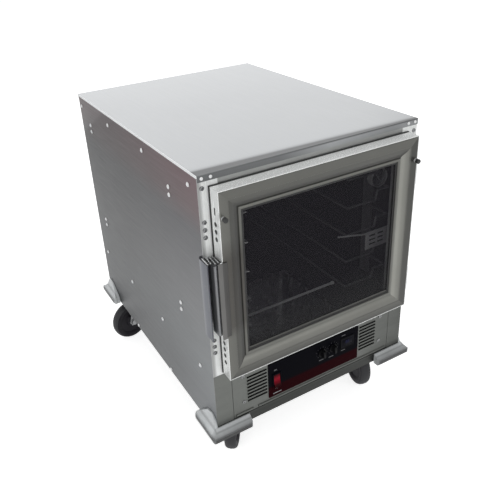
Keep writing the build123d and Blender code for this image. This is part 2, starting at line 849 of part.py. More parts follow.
def corner_bumper():
    """Front left bumper: two mitred legs, a raised hump on the side and rounded ends."""
    section = make_face(Polyline(*[(-out, z) for out, z in bumper_section(bumper_side_top)], close=True))
    side_leg = Pos(0, -bumper_reach, 0) * extrude(Plane.XZ * section, -(bumper_leg + bumper_reach))
    points = [(-out, z) for out, z in bumper_section(bumper_front_top)]
    front_leg = along_x(points, -bumper_reach, bumper_leg)
    far = bumper_leg + 10
    corner = side_leg & front_leg & block((-far, 0), (-far, 0), (-20, 80))
    legs = corner + (side_leg & block((-far, 0), (0, far), (-20, 80)))
    legs += front_leg & block((0, far), (-far, 0), (-20, 80))
    hump = [(-40, -20), (-40, bumper_front_top), (0, bumper_front_top), (6, 42), (22, bumper_side_top)]
    hump += [(44, bumper_side_top - 5), (bumper_leg, 14), (bumper_leg, -20)]
    plan = [(-bumper_reach, -bumper_reach), (bumper_leg, -bumper_reach), (bumper_leg, 0), (0, 0)]
    plan += [(0, bumper_leg), (-bumper_reach, bumper_leg)]
    uprights = along_z(plan, -60, 60).edges().filter_by(Axis.Z)
    outer = [edge for edge in uprights if min(edge.center().X, edge.center().Y) < 1 - bumper_reach]
    shaped = legs & along_x(hump, -200, 200) & fillet(outer, bumper_round)
    return Pos(-half_width, 0, 0) * shaped


def corner_bumpers():
    front = both_sides(corner_bumper())
    middle = Plane(origin=(0, body_depth / 2, 0), z_dir=(0, 1, 0))
    return joined([front, mirror(front, about=middle)])


def caster_centres():
    x = half_width - caster_inset
    return [(sign * x, y) for y in (caster_inset, body_depth - caster_inset) for sign in (-1, 1)]


def caster_plates():
    """Top plates with the fixed race, the kingpin and the nut that holds each fork."""
    fork_low = race_low - end_gap - fork_plate
    plates = []
    for x, y in caster_centres():
        plate = block((x - 50, x + 50), (y - 43, y + 43), (-3, 0))
        plate = chamfer(plate.edges().filter_by(Axis.Z), 8)
        plate += bar((x, y, -3), (x, y, race_low), race_radius, bore_sides)
        plate += bar((x, y, race_low), (x, y, kingpin_low), axle_radius, round_sides)
        plates.append(plate + bar((x, y, fork_low - end_gap), (x, y, kingpin_low), nut_radius, 6))
    return joined(plates)


def caster_fork():
    """Swivel fork with its axle bolt; the kingpin is the z axis and the wheel trails along x."""
    top = race_low - end_gap
    fork = block((-24, 30), (-fork_half, fork_half), (top - fork_plate, top))
    fork -= bore((0, 0, 0), (0, 0, kingpin_low), axle_radius)
    foot_front, foot_back = caster_trail + 13, caster_trail - 13
    outline = [(-24, top), (30, top), (foot_front, axle_height + 4), (foot_front - 5, axle_height - 12)]
    outline += [(foot_back + 5, axle_height - 12), (foot_back, axle_height + 4)]
    leg = extrude(Plane.XZ * make_face(Polyline(*outline, close=True)), fork_plate)
    fork += Pos(0, fork_half, 0) * leg + Pos(0, fork_plate - fork_half, 0) * leg
    bolt = (caster_trail, fork_half, axle_height), (caster_trail, -fork_half, axle_height)
    fork += bar(*bolt, axle_radius, round_sides)
    for end, sign in zip(bolt, (1, -1)):
        fork += bar(end, (caster_trail, sign * (fork_half + 6), axle_height), nut_radius, 6)
    return fork


def caster_wheel():
    """Wheel with flat sides and a bored hub."""
    hub = fork_half - fork_plate - end_gap
    wheel = Cylinder(wheel_radius, 2 * wheel_half_width)
    wheel += bar((0, 0, -hub), (0, 0, hub), hub_radius, bore_sides)
    wheel -= bore((0, 0, -hub), (0, 0, hub), axle_radius)
    return Pos(caster_trail, 0, axle_height) * Rot(90, 0, 0) * wheel


def save_casters():
    """Every caster turned to its own heading under its corner."""
    fork, wheel = caster_fork(), caster_wheel()
    for name, turn, (x, y) in zip(caster_names, caster_turns, caster_centres()):
        place = Pos(x, y, 0) * Rot(0, 0, turn)
        save(f"caster_fork_{name}", place * fork)
        save(f"caster_wheel_{name}", place * wheel)


def main():
    os.makedirs("parts", exist_ok=True)
    save("left_side", side_panel(-1))
    save("right_side", side_panel(1))
    save("top_panel", top_panel())
    save("back_panel", back_panel())
    save("base_pan", base_pan())
    save("floor_strips", floor_strips())
    save("front_rails", front_rails())
    save("door_jambs", both_sides(front_post(post_split, top_skin)))
    save("lower_posts", both_sides(front_post(base_rail_height, post_split)))
    save("face_seal", face_seal())
    save("slide_uprights", joined([both_sides(slide_upright(y)) for y in upright_ys]))
    save("pan_slides_left", pan_slides(-1))
    save("pan_slides_right", pan_slides(1))
    save("hinge_leaves", joined([cabinet_leaf(level) for level in hinge_levels]))
    save("latch_guard", latch_guard())
    save("corner_bumpers", corner_bumpers())
    save("caster_plates", caster_plates())
    save("thermometer_case", dial_case())
    save("thermometer_face", dial_face())
    save("thermometer_lens", dial_lens())
    save("thermometer_needle", dial_needle())
    save("door_frame", door_frame())
    save("door_edges", door_edges())
    save("window", window())
    save("window_seal", window_seal())
    save("door_studs", door_studs())
    save("door_leaves", joined([door_leaf(level) for level in hinge_levels]))
    save("latch_body", latch_body())
    save("latch_handle", latch_handle())
    save("module_tray", module_tray())
    save("module_front", module_front())
    save("module_deck", module_deck())
    save("control_panel", control_panel())
    save("power_switch", power_switch())
    save("humidity_knob", knob(knob_places[0]))
    save("heat_knob", knob(knob_places[1]))
    save("thermostats", thermostats())
    save("readout", readout())
    save("blower_housing", blower_housing())
    save("blower_motor", blower_motor())
    save("blower_wheel", blower_wheel())
    save("heating_elements", heating_elements())
    save("water_pan", water_pan())
    save("power_inlet", power_inlet())
    save_casters()


main()
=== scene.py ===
"""Looks for a half-height heated proofer cabinet: fasteners, prints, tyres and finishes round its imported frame."""

import json
from math import cos, pi, radians, sin, tau

import bmesh
import bpy
from bpy.props import FloatProperty, FloatVectorProperty, IntProperty, PointerProperty
from mathutils import Matrix, Vector


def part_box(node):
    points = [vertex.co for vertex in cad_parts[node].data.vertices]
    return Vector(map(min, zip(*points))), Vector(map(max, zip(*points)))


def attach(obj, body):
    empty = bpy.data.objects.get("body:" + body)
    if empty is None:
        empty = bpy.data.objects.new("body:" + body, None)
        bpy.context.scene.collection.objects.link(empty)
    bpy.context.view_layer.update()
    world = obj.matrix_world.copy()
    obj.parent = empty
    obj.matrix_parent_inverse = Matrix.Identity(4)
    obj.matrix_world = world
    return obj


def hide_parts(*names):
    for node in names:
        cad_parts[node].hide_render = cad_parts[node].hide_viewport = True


bl_info = {
    "name": "Heated Proofer Cabinet",
    "version": (1, 0, 0),
    "blender": (4, 5, 0),
    "location": "3D View > Sidebar > Proofer",
    "description": "Dresses the packed frame of a heated proofer cabinet with fasteners, prints and finishes",
    "category": "Object",
}

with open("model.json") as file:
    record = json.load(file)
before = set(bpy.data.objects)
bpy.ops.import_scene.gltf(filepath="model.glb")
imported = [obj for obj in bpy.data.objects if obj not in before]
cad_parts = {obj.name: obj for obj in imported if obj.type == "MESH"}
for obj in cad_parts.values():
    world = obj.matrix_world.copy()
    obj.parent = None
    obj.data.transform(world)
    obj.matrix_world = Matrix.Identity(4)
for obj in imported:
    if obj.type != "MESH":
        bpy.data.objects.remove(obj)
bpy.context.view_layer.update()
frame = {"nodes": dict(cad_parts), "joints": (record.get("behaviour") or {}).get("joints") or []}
MM = 0.001
FRONT_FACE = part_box("front_rails")[0].y
BODY_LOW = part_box("left_side")[0].z
LEFT_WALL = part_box("left_side")[0].x
RIGHT_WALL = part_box("right_side")[1].x
REAR_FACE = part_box("back_panel")[1].y
FORWARD = Vector((0, -1, 0))
BACKWARD = Vector((0, 1, 0))
LEFTWARD = Vector((-1, 0, 0))
RIGHTWARD = Vector((1, 0, 0))
DOWNWARD = Vector((0, 0, -1))
UPWARD = Vector((0, 0, 1))
FACE_FRONT = Matrix.Rotation(pi / 2, 4, "X")
CORNERS = ("front_left", "front_right", "rear_left", "rear_right")


def spot(x, y, z):
    """A place in metres from millimetres across from the middle, back from the front face and up."""
    return Vector((x * MM, FRONT_FACE + y * MM, BODY_LOW + z * MM))


# Every measure below is in millimetres, taken as spot takes them: across, back from the front face and up

# Rows of fasteners
SIDE_RIVETS = {641: (43, 285, 518, 741), 166: (68, 287, 506, 718), 7: (270, 508)}
UPRIGHT_RIVET_DEPTHS = (147, 680)
UPRIGHT_RIVET_LEVELS = (281, 300, 580, 599)
LIP_RIVETS = (-277, -257, 257, 277)
LIP_RIVET_LEVEL = 666
REAR_RIVET_LEVELS = (22, 200, 330, 460, 590)
REAR_RIVET_PLACE = 275
POST_SCREW_PLACE = 277
POST_SCREW_LEVELS = (245, 262, 279, 537, 554, 571)
POST_TOP_SCREW_LEVEL = 645
HINGE_LEAF_FACE = -2.5
MODULE_SCREW_PLACE = 211
MODULE_SCREW_LEVELS = (66, 144)
DOOR_LEAF_LEVELS = (245, 279, 537, 571)
DOOR_LEAF_SINK = 1.0
DOOR_LEAF_SCREW_DEPTH = -18
PLATE_BOLT_REACH = (37, 32)
PLATE_BOLT_RISE = 5
PLATE_FACE = -3
CASTER_PLACES = ((-221, 65), (221, 65), (-221, 697), (221, 697))

# Trims of the top, the door, the chamber and the latch
HEM_PLACE = 286
HEM_HALF_WIDTH = 1.6
HEM_REACH = ((-1, 667), (761.5, 672.9))
EDGE_HOLE_DEPTH = -20
EDGE_HOLE_LEVELS = (226, 245, 262, 279, 537, 554, 571)
EDGE_HOLE_SHAPE = ((0, 0.2), (5.2, 0.2), (5.2, 0))
EDGE_SLOT = ((-22.5, 591), (-17.5, 607))
STRIP_LEVELS = (240, 248)
STRIP_INSET = 6
STRIP_DEPTHS = (-1.4, -0.05)
RODS = (((-282, 67, 254), (102, 67, 254), 3.2), ((99, 67, 254), (106, 67, 254), 4.4),
        ((111, 59, 388), (212, 59, 366), 2.2))
HOLDER = ((200, 58, 322), (284, 60, 372))
HOLDER_SLOT_LEVELS = (334, 346, 358)
HOLDER_SLOT_PLACES = ((212, 232), (240, 258))
HOLDER_SLOT_DEPTHS = (57.6, 58.1)
GUARD_RIBS, GUARD_RIB_FRONT = (-291.5, -284.5), -30
LATCH_RIBS, LATCH_RIB_FRONT = (-277.5, -270.5), -36
RIB_HALF_WIDTH = 1.3
RIB_BACK = -6
RIB_LEVELS = (493, 498)
RIB_FALL = 3.5
LATCH_TIP = ((-269, -39.6, 484), (-264, -38.4, 494))
GUARD_CAP = ((-293.6, -29.6, 491), (-281.4, -2, 493.5))
LATCH_CAP = ((-280, -36, 491.2), (-265, -12, 493.5))
LATCH_COVER = ((-274, -39.8, 303.7), (-262, -38.5, 492.3))

# Outlines of (radius, side) about the casters' axles
TYRE_SIDE = ((6.2, 16), (14, 18.5), (15, 18.5), (20, 9.5), (42, 9.5), (47, 14), (55, 15.6), (58, 14.6))
TYRE_OUTLINE = (*((radius, -side) for radius, side in TYRE_SIDE), *reversed(TYRE_SIDE), (6.2, -16))
TREAD_OUTLINE = ((57.5, -14.4), (58.2, -14.6), (60, -13.2), (62.6, -8), (63.4, 0), (62.6, 8), (60, 13.2),
                 (58.2, 14.6), (57.5, 14.4), (57.5, -14.4))
CAP_OUTLINE = ((6.3, 18.2), (6.3, 19.2), (11, 19.2), (12.5, 18.2), (6.3, 18.2))
WHEEL_STEPS = 64
CAP_STEPS = 32

# Prints of the control panel, as (across, up), and of the dial
PANEL_FACE = -1.5
PRINT_RISE = 0.15
PANEL_LEVELS = (42, 146)
KNOBS = (19, 54)
KNOB_LEVEL = 112
KNOB_SCALE_RADIUS = 16.2
KNOB_STEPS = 10
KNOB_STEP_TURN = 30
FIGURE_HEIGHT = 3.6
CAPTIONS = ((19, 89, 17), (49, 86, 15), (88, 89, 13), (88, 136, 12))
CAPTION_HALF_HEIGHT = 1.1
SWITCH_WORDS = (("ON", -121, 122), ("OFF", -119, 65))
SWITCH_WORD_HEIGHT = 5.2
SWITCH_BAR = ((-129, 49.9), (-105, 52.1))
READOUT_RIM = (((81.2, 122.9), (119.8, 124.1)), ((81.2, 99.9), (119.8, 101.1)), ((81.2, 101.1), (82.4, 122.9)),
               ((118.6, 101.1), (119.8, 122.9)))
READOUT_RIM_DEPTHS = (-3.2, -3.0)
READOUT_SCREEN = ((83.6, -2.8, 102.6), (117.4, -2.1, 122.3))
READOUT_DIGITS = (100.5, -2.9, 112.2)
READOUT_DIGIT_HEIGHT = 13
SCALE_START = 225
DIAL_SWEEP = 270
DIAL_MARKS = 40
DIAL_FIGURES = 8
DIAL_RADIUS = 20.8
DIAL_MARK_LENGTHS = (3.4, 1.9)
DIAL_MARK_HALF_WIDTH = 0.22
DIAL_PRINT_RISE = 0.12
DIAL_FIGURE_RADIUS = 14.2

# The door frame's section, and the painted light and shade inwards from the outer edge of each member
FRAME_SECTION = 52
LEFT_STILE_LIGHT = ((0, 1.1), (0.36, 0.95), (0.42, 0.58), (0.66, 0.46), (0.7, 0.38), (0.84, 0.42), (0.89, 1))
RIGHT_STILE_LIGHT = ((0, 0.4), (0.36, 0.46), (0.4, 0.92), (0.5, 1.45), (0.62, 1.8), (0.7, 2.2), (0.8, 2.25),
               (0.85, 1.7), (0.9, 1.2), (1, 0.9))
TOP_RAIL_LIGHT = ((0, 0.78), (0.05, 0.92), (0.4, 0.92), (0.44, 0.8), (0.66, 0.55), (0.7, 0.42), (0.84, 0.4),
            (0.89, 1.2))
BOTTOM_RAIL_LIGHT = ((0, 0.48), (0.2, 0.68), (0.38, 0.86), (0.45, 1.18), (0.6, 1.45), (0.72, 1.65), (0.8, 1.45),
               (0.86, 0.9), (0.9, 1.1))
BUMPER_REACH = 22

# Lamps: name, place, aim and size in metres
LAMPS = (("overhead", (0.2, 0.3, 3.2), (0, 0.1, 0.5), 3.0), ("rear", (1.5, 3.0, 2.4), (0, 0, 0.8), 3.4),
         ("left", (-2.5, -2.1, 1.8), (0, -0.2, 0.5), 1.6), ("front", (0.9, -3.4, 2.0), (0, 0, 0.5), 2.2))
FLOOR_REACH = 12


def length(name, description, default):
    """A length that a user can change, given in millimetres."""
    return FloatProperty(name=name, description=description, default=default * MM, unit="LENGTH")


def paint(name, description, default):
    """A linear colour that a user can change."""
    return FloatVectorProperty(name=name, description=description, default=default, subtype="COLOR", size=3)


def power(name, description, default):
    """A lamp's power that a user can change."""
    return FloatProperty(name=name, description=description, default=default, unit="POWER")


def angle(name, description, default):
    """An angle that a user can change, given in degrees."""
    return FloatProperty(name=name, description=description, default=radians(default), subtype="ANGLE")


class ProoferFasteners(bpy.types.PropertyGroup):
    """Sizes of the rivets, screws and bolts."""

    rivet_radius: length("Rivet radius", "Radius of a dome rivet's head", 5.4)
    lip_rivet_radius: length("Lip rivet radius", "Radius of a rivet in the top's front lip", 3.7)
    rivet_rise: length("Rivet rise", "Height of a dome rivet's head", 3.0)
    screw_radius: length("Screw radius", "Radius of a pan-head screw", 5.2)
    screw_rise: length("Screw rise", "Height of a pan-head screw", 2.0)
    bolt_radius: length("Bolt radius", "Corner radius of a caster plate's bolt head", 7.0)
    turned_steps: IntProperty(name="Turned steps", description="Faces round a turned head", default=16)


class ProoferColours(bpy.types.PropertyGroup):
    """Colours of the finishes, as linear values."""

    side: paint("Side sheet", "Mill-finish aluminium of the sides and back", (0.098, 0.100, 0.101))
    inner: paint("Inner sheet", "Aluminium of the uprights, tray and deck", (0.34, 0.345, 0.345))
    top: paint("Top sheet", "Brighter aluminium of the top panel", (0.425, 0.435, 0.445))
    face: paint("Front frame", "Aluminium of the posts and the module's face", (0.130, 0.135, 0.127))
    # painted light: the header rail is the front's aluminium in a lighter copy, for the light it catches
    rail: paint("Header rail", "Lighter aluminium of the rails round the doorway", (0.3, 0.305, 0.3))
    # painted light: the jambs and the door's edge bands are the same aluminium painted near white, for the light and
    # reflection they catch; the dial's ring takes this colour too
    jamb: paint("Bright strips", "Bright jambs and the door's edge bands", (0.86, 0.87, 0.86))
    door: paint("Door frame", "Satin aluminium of the moulded door frame", (0.126, 0.126, 0.114))
    chrome: paint("Chrome", "Plating of the hinges and the latch's ribs", (0.5, 0.505, 0.51))
    zinc: paint("Zinc", "Zinc-plated caster steel", (0.3, 0.305, 0.31))
    latch: paint("Latch", "Darker satin steel of the latch's guard", (0.104, 0.106, 0.110))
    bumper: paint("Bumpers", "Moulded grey corner bumpers", (0.52, 0.535, 0.54))
    panel: paint("Control panel", "Black printed overlay", (0.0038, 0.0038, 0.0058))
    stripe: paint("Stripe", "Dark red stripe along the control panel", (0.020, 0.0015, 0.003))
    switch: paint("Switch", "Red rocker switch", (0.46, 0.008, 0.030))
    print: paint("Print", "White print beside the switch", (0.35, 0.35, 0.36))
    faint: paint("Faint print", "Grey print round the knobs", (0.07, 0.07, 0.075))
    wire: paint("Slide wire", "Bright wire of the pan slides", (0.86, 0.86, 0.87))


class ProoferStage(bpy.types.PropertyGroup):
    """Floor, lamps and camera."""

    floor: paint("Floor", "Colour of the plain floor", (0.86, 0.86, 0.86))
    overhead: power("Overhead lamp", "Power of the soft lamp above", 30.0)
    rear: power("Rear lamp", "Power of the soft lamp above and behind", 16.0)
    left: power("Left lamp", "Power of the soft lamp on the left", 30.0)
    front: power("Front lamp", "Power of the soft lamp in front", 14.0)
    sky: FloatProperty(name="Sky", description="Strength of the even grey sky", default=0.32)
    floor_glow: FloatProperty(name="Floor glow", description="Light that the camera adds to the floor", default=0.75)
    azimuth: angle("Camera azimuth", "Angle of the camera round the cabinet", -28.671)
    elevation: angle("Camera elevation", "Angle of the camera above the horizon", 26.584)
    roll: angle("Camera roll", "Turn of the camera about its own line of sight", -3.234)
    lens: FloatProperty(name="Lens", description="Focal length on a 36 mm sensor", default=43.29)
    shift: FloatVectorProperty(name="Shift", description="Shift of the picture across and up", size=2,
                               default=(0.0274, -0.0683))
    camera: FloatVectorProperty(name="Camera place", description="Where the camera stands", size=3,
                                default=spot(-729.6, -960.9, 1112.8), subtype="XYZ")


def turned_shape(outline, steps, unit=1.0):
    """A shape turned about the z axis from an outline of (radius, height) points."""
    shape = bmesh.new()
    points = [shape.verts.new((radius * unit, 0, height * unit)) for radius, height in outline]
    edges = [shape.edges.new(pair) for pair in zip(points, points[1:])]
    bmesh.ops.spin(shape, geom=points + edges, cent=(0, 0, 0), axis=(0, 0, 1), angle=tau, steps=steps,
                   use_merge=True, dvec=(0, 0, 0))
    bmesh.ops.remove_doubles(shape, verts=shape.verts, dist=1e-6)
    bmesh.ops.recalc_face_normals(shape, faces=shape.faces)
    return shape


def block_shape(low, high, soften=0.0, segments=2):
    """A box between two corners, with its edges rounded where a radius is given."""
    shape = bmesh.new()
    low, high = Vector(low), Vector(high)
    bmesh.ops.create_cube(shape, size=1)
    bmesh.ops.scale(shape, vec=high - low, verts=shape.verts)
    bmesh.ops.translate(shape, vec=(low + high) / 2, verts=shape.verts)
    if soften:
        bmesh.ops.bevel(shape, geom=shape.edges, offset=soften, segments=segments, profile=0.5,
                        affect="EDGES", material=-1)
    return shape


def block(low, high, soften=0.0, segments=2):
    """A box between two places in spot's measures."""
    return block_shape(spot(*low), spot(*high), soften * MM, segments)


def turn_to(facing):
    """The turn that brings the z axis to face a way."""
    return UPWARD.rotation_difference(facing).to_matrix().to_4x4()


def move_to(shape, place, turn):
    """Turns a shape about the origin and carries it to a place."""
    bmesh.ops.transform(shape, matrix=Matrix.Translation(place) @ turn, verts=shape.verts)
    return shape


def stamp(target, shape, places, facing):
    """Adds a copy of a small shape at each place, facing one way."""
    print_mesh = bpy.data.meshes.new("stamp")
    shape.to_mesh(print_mesh)
    for place in places:
        start = len(target.verts)
        target.from_mesh(print_mesh)
        target.verts.ensure_lookup_table()
        bmesh.ops.transform(target, matrix=Matrix.Translation(place) @ turn_to(facing), verts=target.verts[start:])
    bpy.data.meshes.remove(print_mesh)


def merge_into(target, shape):
    """Adds a shape to another and frees it."""
    mesh = bpy.data.meshes.new("part")
    shape.to_mesh(mesh)
    target.from_mesh(mesh)
    bpy.data.meshes.remove(mesh)
    shape.free()


def lettering(words, height, place, rise=PRINT_RISE * MM):
    """Plain lettering as a thin raised shape, centred on a place and facing front."""
    curve = bpy.data.curves.new("lettering", "FONT")
    curve.body = words
    curve.size = height
    curve.extrude = rise
    curve.align_x = "CENTER"
    curve.align_y = "CENTER"
    letters = add_object("lettering", curve)
    mesh = bpy.data.meshes.new_from_object(letters.evaluated_get(bpy.context.evaluated_depsgraph_get()))
    bpy.data.objects.remove(letters)
    bpy.data.curves.remove(curve)
    shape = bmesh.new()
    shape.from_mesh(mesh)
    bpy.data.meshes.remove(mesh)
    return move_to(shape, place, FACE_FRONT)


def add_object(name, data):
    """An object in the scene for a mesh, a curve, a lamp or a camera."""
    thing = bpy.data.objects.new(name, data)
    bpy.context.scene.collection.objects.link(thing)
    return thing


def finished_mesh(name, shape, finish):
    """A mesh of a shape, with its finish; the shape is freed."""
    mesh = bpy.data.meshes.new(name)
    shape.to_mesh(mesh)
    shape.free()
    mesh.materials.append(finish)
    return mesh


def add_piece(name, shape, body, finish, smooth=30.0):
    """Makes a finished piece of a shape and rides it on its body."""
    mesh = finished_mesh(name, shape, finish)
    piece = add_object(name, mesh)
    if smooth:
        mesh.shade_smooth()
        mesh.set_sharp_from_angle(angle=radians(smooth))
    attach(piece, body)
    return piece


def set_heads(name, head, places, facing, body, finish):
    """Makes one piece of a row of fasteners out of a single head, which is freed."""
    shape = bmesh.new()
    stamp(shape, head, places, facing)
    head.free()
    add_piece(name, shape, body, finish)


def dress(finish, *nodes):
    """Gives CAD nodes a finish."""
    for node in nodes:
        materials = frame["nodes"][node].data.materials
        if not materials:
            materials.append(finish)
        for index in range(len(materials)):
            materials[index] = finish


# Finishes


def new_finish(name, colour, **plain):
    """A finish whose plain values stand on its shader's own sockets."""
    finish = bpy.data.materials.new(name)
    finish.use_nodes = True
    shader = finish.node_tree.nodes["Principled BSDF"]
    shader.inputs["Base Color"].default_value = (*colour, 1)
    for socket, value in plain.items():
        shader.inputs[socket.replace("_", " ")].default_value = value
    return finish


def add_node(owner, kind, inputs=None, **settings):
    """A shader node with its settings; each input takes a plain value or another node's output."""
    tree = owner.node_tree
    node = tree.nodes.new(f"ShaderNode{kind}")
    for name, value in settings.items():
        setattr(node, name, value)
    for socket, value in (inputs or {}).items():
        if isinstance(value, bpy.types.NodeSocket):
            tree.links.new(value, node.inputs[socket])
        else:
            node.inputs[socket].default_value = value
    return node


def feed(finish, socket, source):
    """Links a pattern to one of the shader's sockets."""
    finish.node_tree.links.new(source, finish.node_tree.nodes["Principled BSDF"].inputs[socket])


def object_place(finish):
    """The Object coordinates."""
    return add_node(finish, "TexCoord").outputs["Object"]


def pattern(finish, stretch, **values):
    """A noise on Object coordinates, stretched by a scale on each axis."""
    mapping = add_node(finish, "Mapping", {"Vector": object_place(finish), "Scale": stretch})
    return add_node(finish, "TexNoise", {"Vector": mapping.outputs["Vector"], **values}).outputs["Fac"]


def measure(finish, operation, first, second):
    """One sum on two values."""
    return add_node(finish, "Math", {0: first, 1: second}, operation=operation).outputs["Value"]


def rescale(finish, source, low, high, start=0.0, end=1.0):
    """A value that runs from a start to an end while its source runs from low to high."""
    values = {"Value": source, "From Min": low, "From Max": high, "To Min": start, "To Max": end}
    return add_node(finish, "MapRange", values).outputs["Result"]


def ramp_by(finish, source, *stops):
    """A colour that runs through stops of (place, colour or grey) with a pattern."""
    ramp = add_node(finish, "ValToRGB", {"Fac": source})
    elements = ramp.color_ramp.elements
    elements[1].position, elements[0].position = stops[-1][0], stops[0][0]
    for place, _ in stops[1:-1]:
        elements.new(place)
    for element, (_, colour) in zip(elements, stops):
        element.color = (colour, colour, colour, 1) if isinstance(colour, (int, float)) else (*colour, 1)
    return ramp.outputs["Color"]


def mix_colours(finish, first, second, share=1.0, kind="MULTIPLY"):
    """Two colours mixed; the share is a number or another pattern."""
    return add_node(finish, "Mix", {"Factor": share, 6: first, 7: second}, data_type="RGBA",
                    blend_type=kind).outputs[2]


def colour_by(finish, source, *stops):
    """Lets a pattern blend the base colour between stops."""
    feed(finish, "Base Color", ramp_by(finish, source, *stops))


def roughness_by(finish, source, low, high):
    """Lets a noise move the roughness between two values over the middle of its reach."""
    feed(finish, "Roughness", rescale(finish, source, 0.3, 0.7, low, high))


def bump_by(finish, source, strength, distance=0.4 * MM):
    """Raises the surface by a pattern."""
    bump = add_node(finish, "Bump", {"Strength": strength, "Distance": distance, "Height": source})
    feed(finish, "Normal", bump.outputs["Normal"])


def along(finish, axis, low, high):
    """A value that runs from 0 to 1 between two places in metres along one Object axis."""
    split = add_node(finish, "SeparateXYZ", {"Vector": object_place(finish)})
    return rescale(finish, split.outputs[axis], low, high)


def across(finish, axis, low, high):
    """A value that runs from 0 to 1 between two of spot's measures along one axis."""
    index = "XYZ".index(axis)
    return along(finish, axis, spot(low, low, low)[index], spot(high, high, high)[index])


def slanting(finish, slope, start, end):
    """A value that runs from 0 to 1 between two places along a slanting way."""
    way = add_node(finish, "VectorMath", {0: object_place(finish), 1: slope}, operation="DOT_PRODUCT")
    return rescale(finish, way.outputs["Value"], Vector(slope).dot(start), Vector(slope).dot(end))


def outside_body(finish, reach):
    """A value that runs from 0 at the body's walls to 1 at a reach outside them."""
    near, far = Vector((LEFT_WALL, FRONT_FACE, 0)), Vector((RIGHT_WALL, REAR_FACE, 0))
    vector = object_place(finish)
    for operation, amount in (("SUBTRACT", (near + far) / 2), ("ABSOLUTE", Vector()), ("SUBTRACT", (far - near) / 2)):
        vector = add_node(finish, "VectorMath", {0: vector, 1: amount}, operation=operation).outputs["Vector"]
    split = add_node(finish, "SeparateXYZ", {"Vector": vector})
    return rescale(finish, measure(finish, "MAXIMUM", split.outputs["X"], split.outputs["Y"]), 0.0, reach)


def tint_with(finish, tint):
    """Multiplies the base colour by a tint."""
    base = finish.node_tree.nodes["Principled BSDF"].inputs["Base Color"]
    feed(finish, "Base Color", mix_colours(finish, base.links[0].from_socket, tint))


def tint_by(finish, source, *stops):
    """Multiplies the base colour by tints at stops."""
    tint_with(finish, ramp_by(finish, source, *stops))


def tint_across(finish, axis, low, high, *stops):
    """Multiplies the base colour by tints between two of spot's measures along one axis."""
    tint_by(finish, across(finish, axis, low, high), *stops)


def tint_members(finish, members):
    """Tints a mitred frame member by member, with the distance inwards from each one's own outer edge."""
    nearest, tint = members[0]
    for distance, member_tint in members[1:]:
        closer = measure(finish, "LESS_THAN", distance, nearest)
        tint = mix_colours(finish, tint, member_tint, closer, "MIX")
        nearest = measure(finish, "MINIMUM", distance, nearest)
    tint_with(finish, tint)


def shade(colour, factor):
    """A colour made darker or lighter by a factor."""
    return tuple(min(1, part * factor) for part in colour)


def sheet_finish(name, colour, grain, roughness=(0.34, 0.5), metallic=1.0, cloud=0.08, relief=0.05):
    """Rolled aluminium sheet: long fine grain one way, cloudy handling marks and a soft shine."""
    finish = new_finish(name, colour, Metallic=metallic)
    clouds = pattern(finish, (1, 1, 1), Scale=5.0, Detail=4.0, Roughness=0.6)
    lines = pattern(finish, grain, Scale=60.0, Detail=3.0, Roughness=0.65)
    colour_by(finish, clouds, (0.3, shade(colour, 1 - cloud)), (0.72, shade(colour, 1 + cloud)))
    roughness_by(finish, lines, *roughness)
    bump_by(finish, lines, relief)
    return finish


def plated_finish(name, colour, low=0.12, high=0.26):
    """Bright plating with faint smears."""
    finish = new_finish(name, colour, Metallic=1.0)
    smears = pattern(finish, (1, 1, 0.3), Scale=45.0, Detail=3.0)
    colour_by(finish, smears, (0.3, shade(colour, 0.86)), (0.7, shade(colour, 1.06)))
    roughness_by(finish, smears, low, high)
    return finish


def moulded_finish(name, colour, roughness, grain=900.0, strength=0.12, gloss=0.5):
    """Moulded plastic or rubber with a fine pebble and slightly uneven colour."""
    finish = new_finish(name, colour, Specular_IOR_Level=gloss)
    pebble = pattern(finish, (1, 1, 1), Scale=grain, Detail=2.0)
    clouds = pattern(finish, (1, 1, 1), Scale=22.0, Detail=3.0)
    colour_by(finish, clouds, (0.3, shade(colour, 0.84)), (0.7, shade(colour, 1.12)))
    roughness_by(finish, clouds, roughness - 0.06, roughness + 0.08)
    bump_by(finish, pebble, strength, 0.2 * MM)
    return finish


def ink_finish(name, colour, roughness=0.45, strength=0.02, gloss=0.5):
    """Flat print or a screen, with almost no grain."""
    return moulded_finish(name, colour, roughness, 2000.0, strength, gloss)


def clear_finish(name, colour, alpha, roughness=0.03):
    """A clear pane that darkens what is behind it, without a mirror of its own."""
    finish = new_finish(name, colour, Alpha=alpha, Specular_IOR_Level=0.0)
    wipes = pattern(finish, (0.5, 1, 1.6), Scale=9.0, Detail=5.0)
    roughness_by(finish, wipes, roughness, roughness + 0.09)
    return finish


def overlay_finish(colours):
    """Printed overlay: black, with a dark red stripe along its lower edge."""
    finish = new_finish("panel_overlay", colours.panel, Roughness=0.4, Specular_IOR_Level=0.01)
    colour_by(finish, across(finish, "Z", *PANEL_LEVELS),
              (0, colours.stripe), (0.28, colours.stripe), (0.35, colours.panel))
    return finish


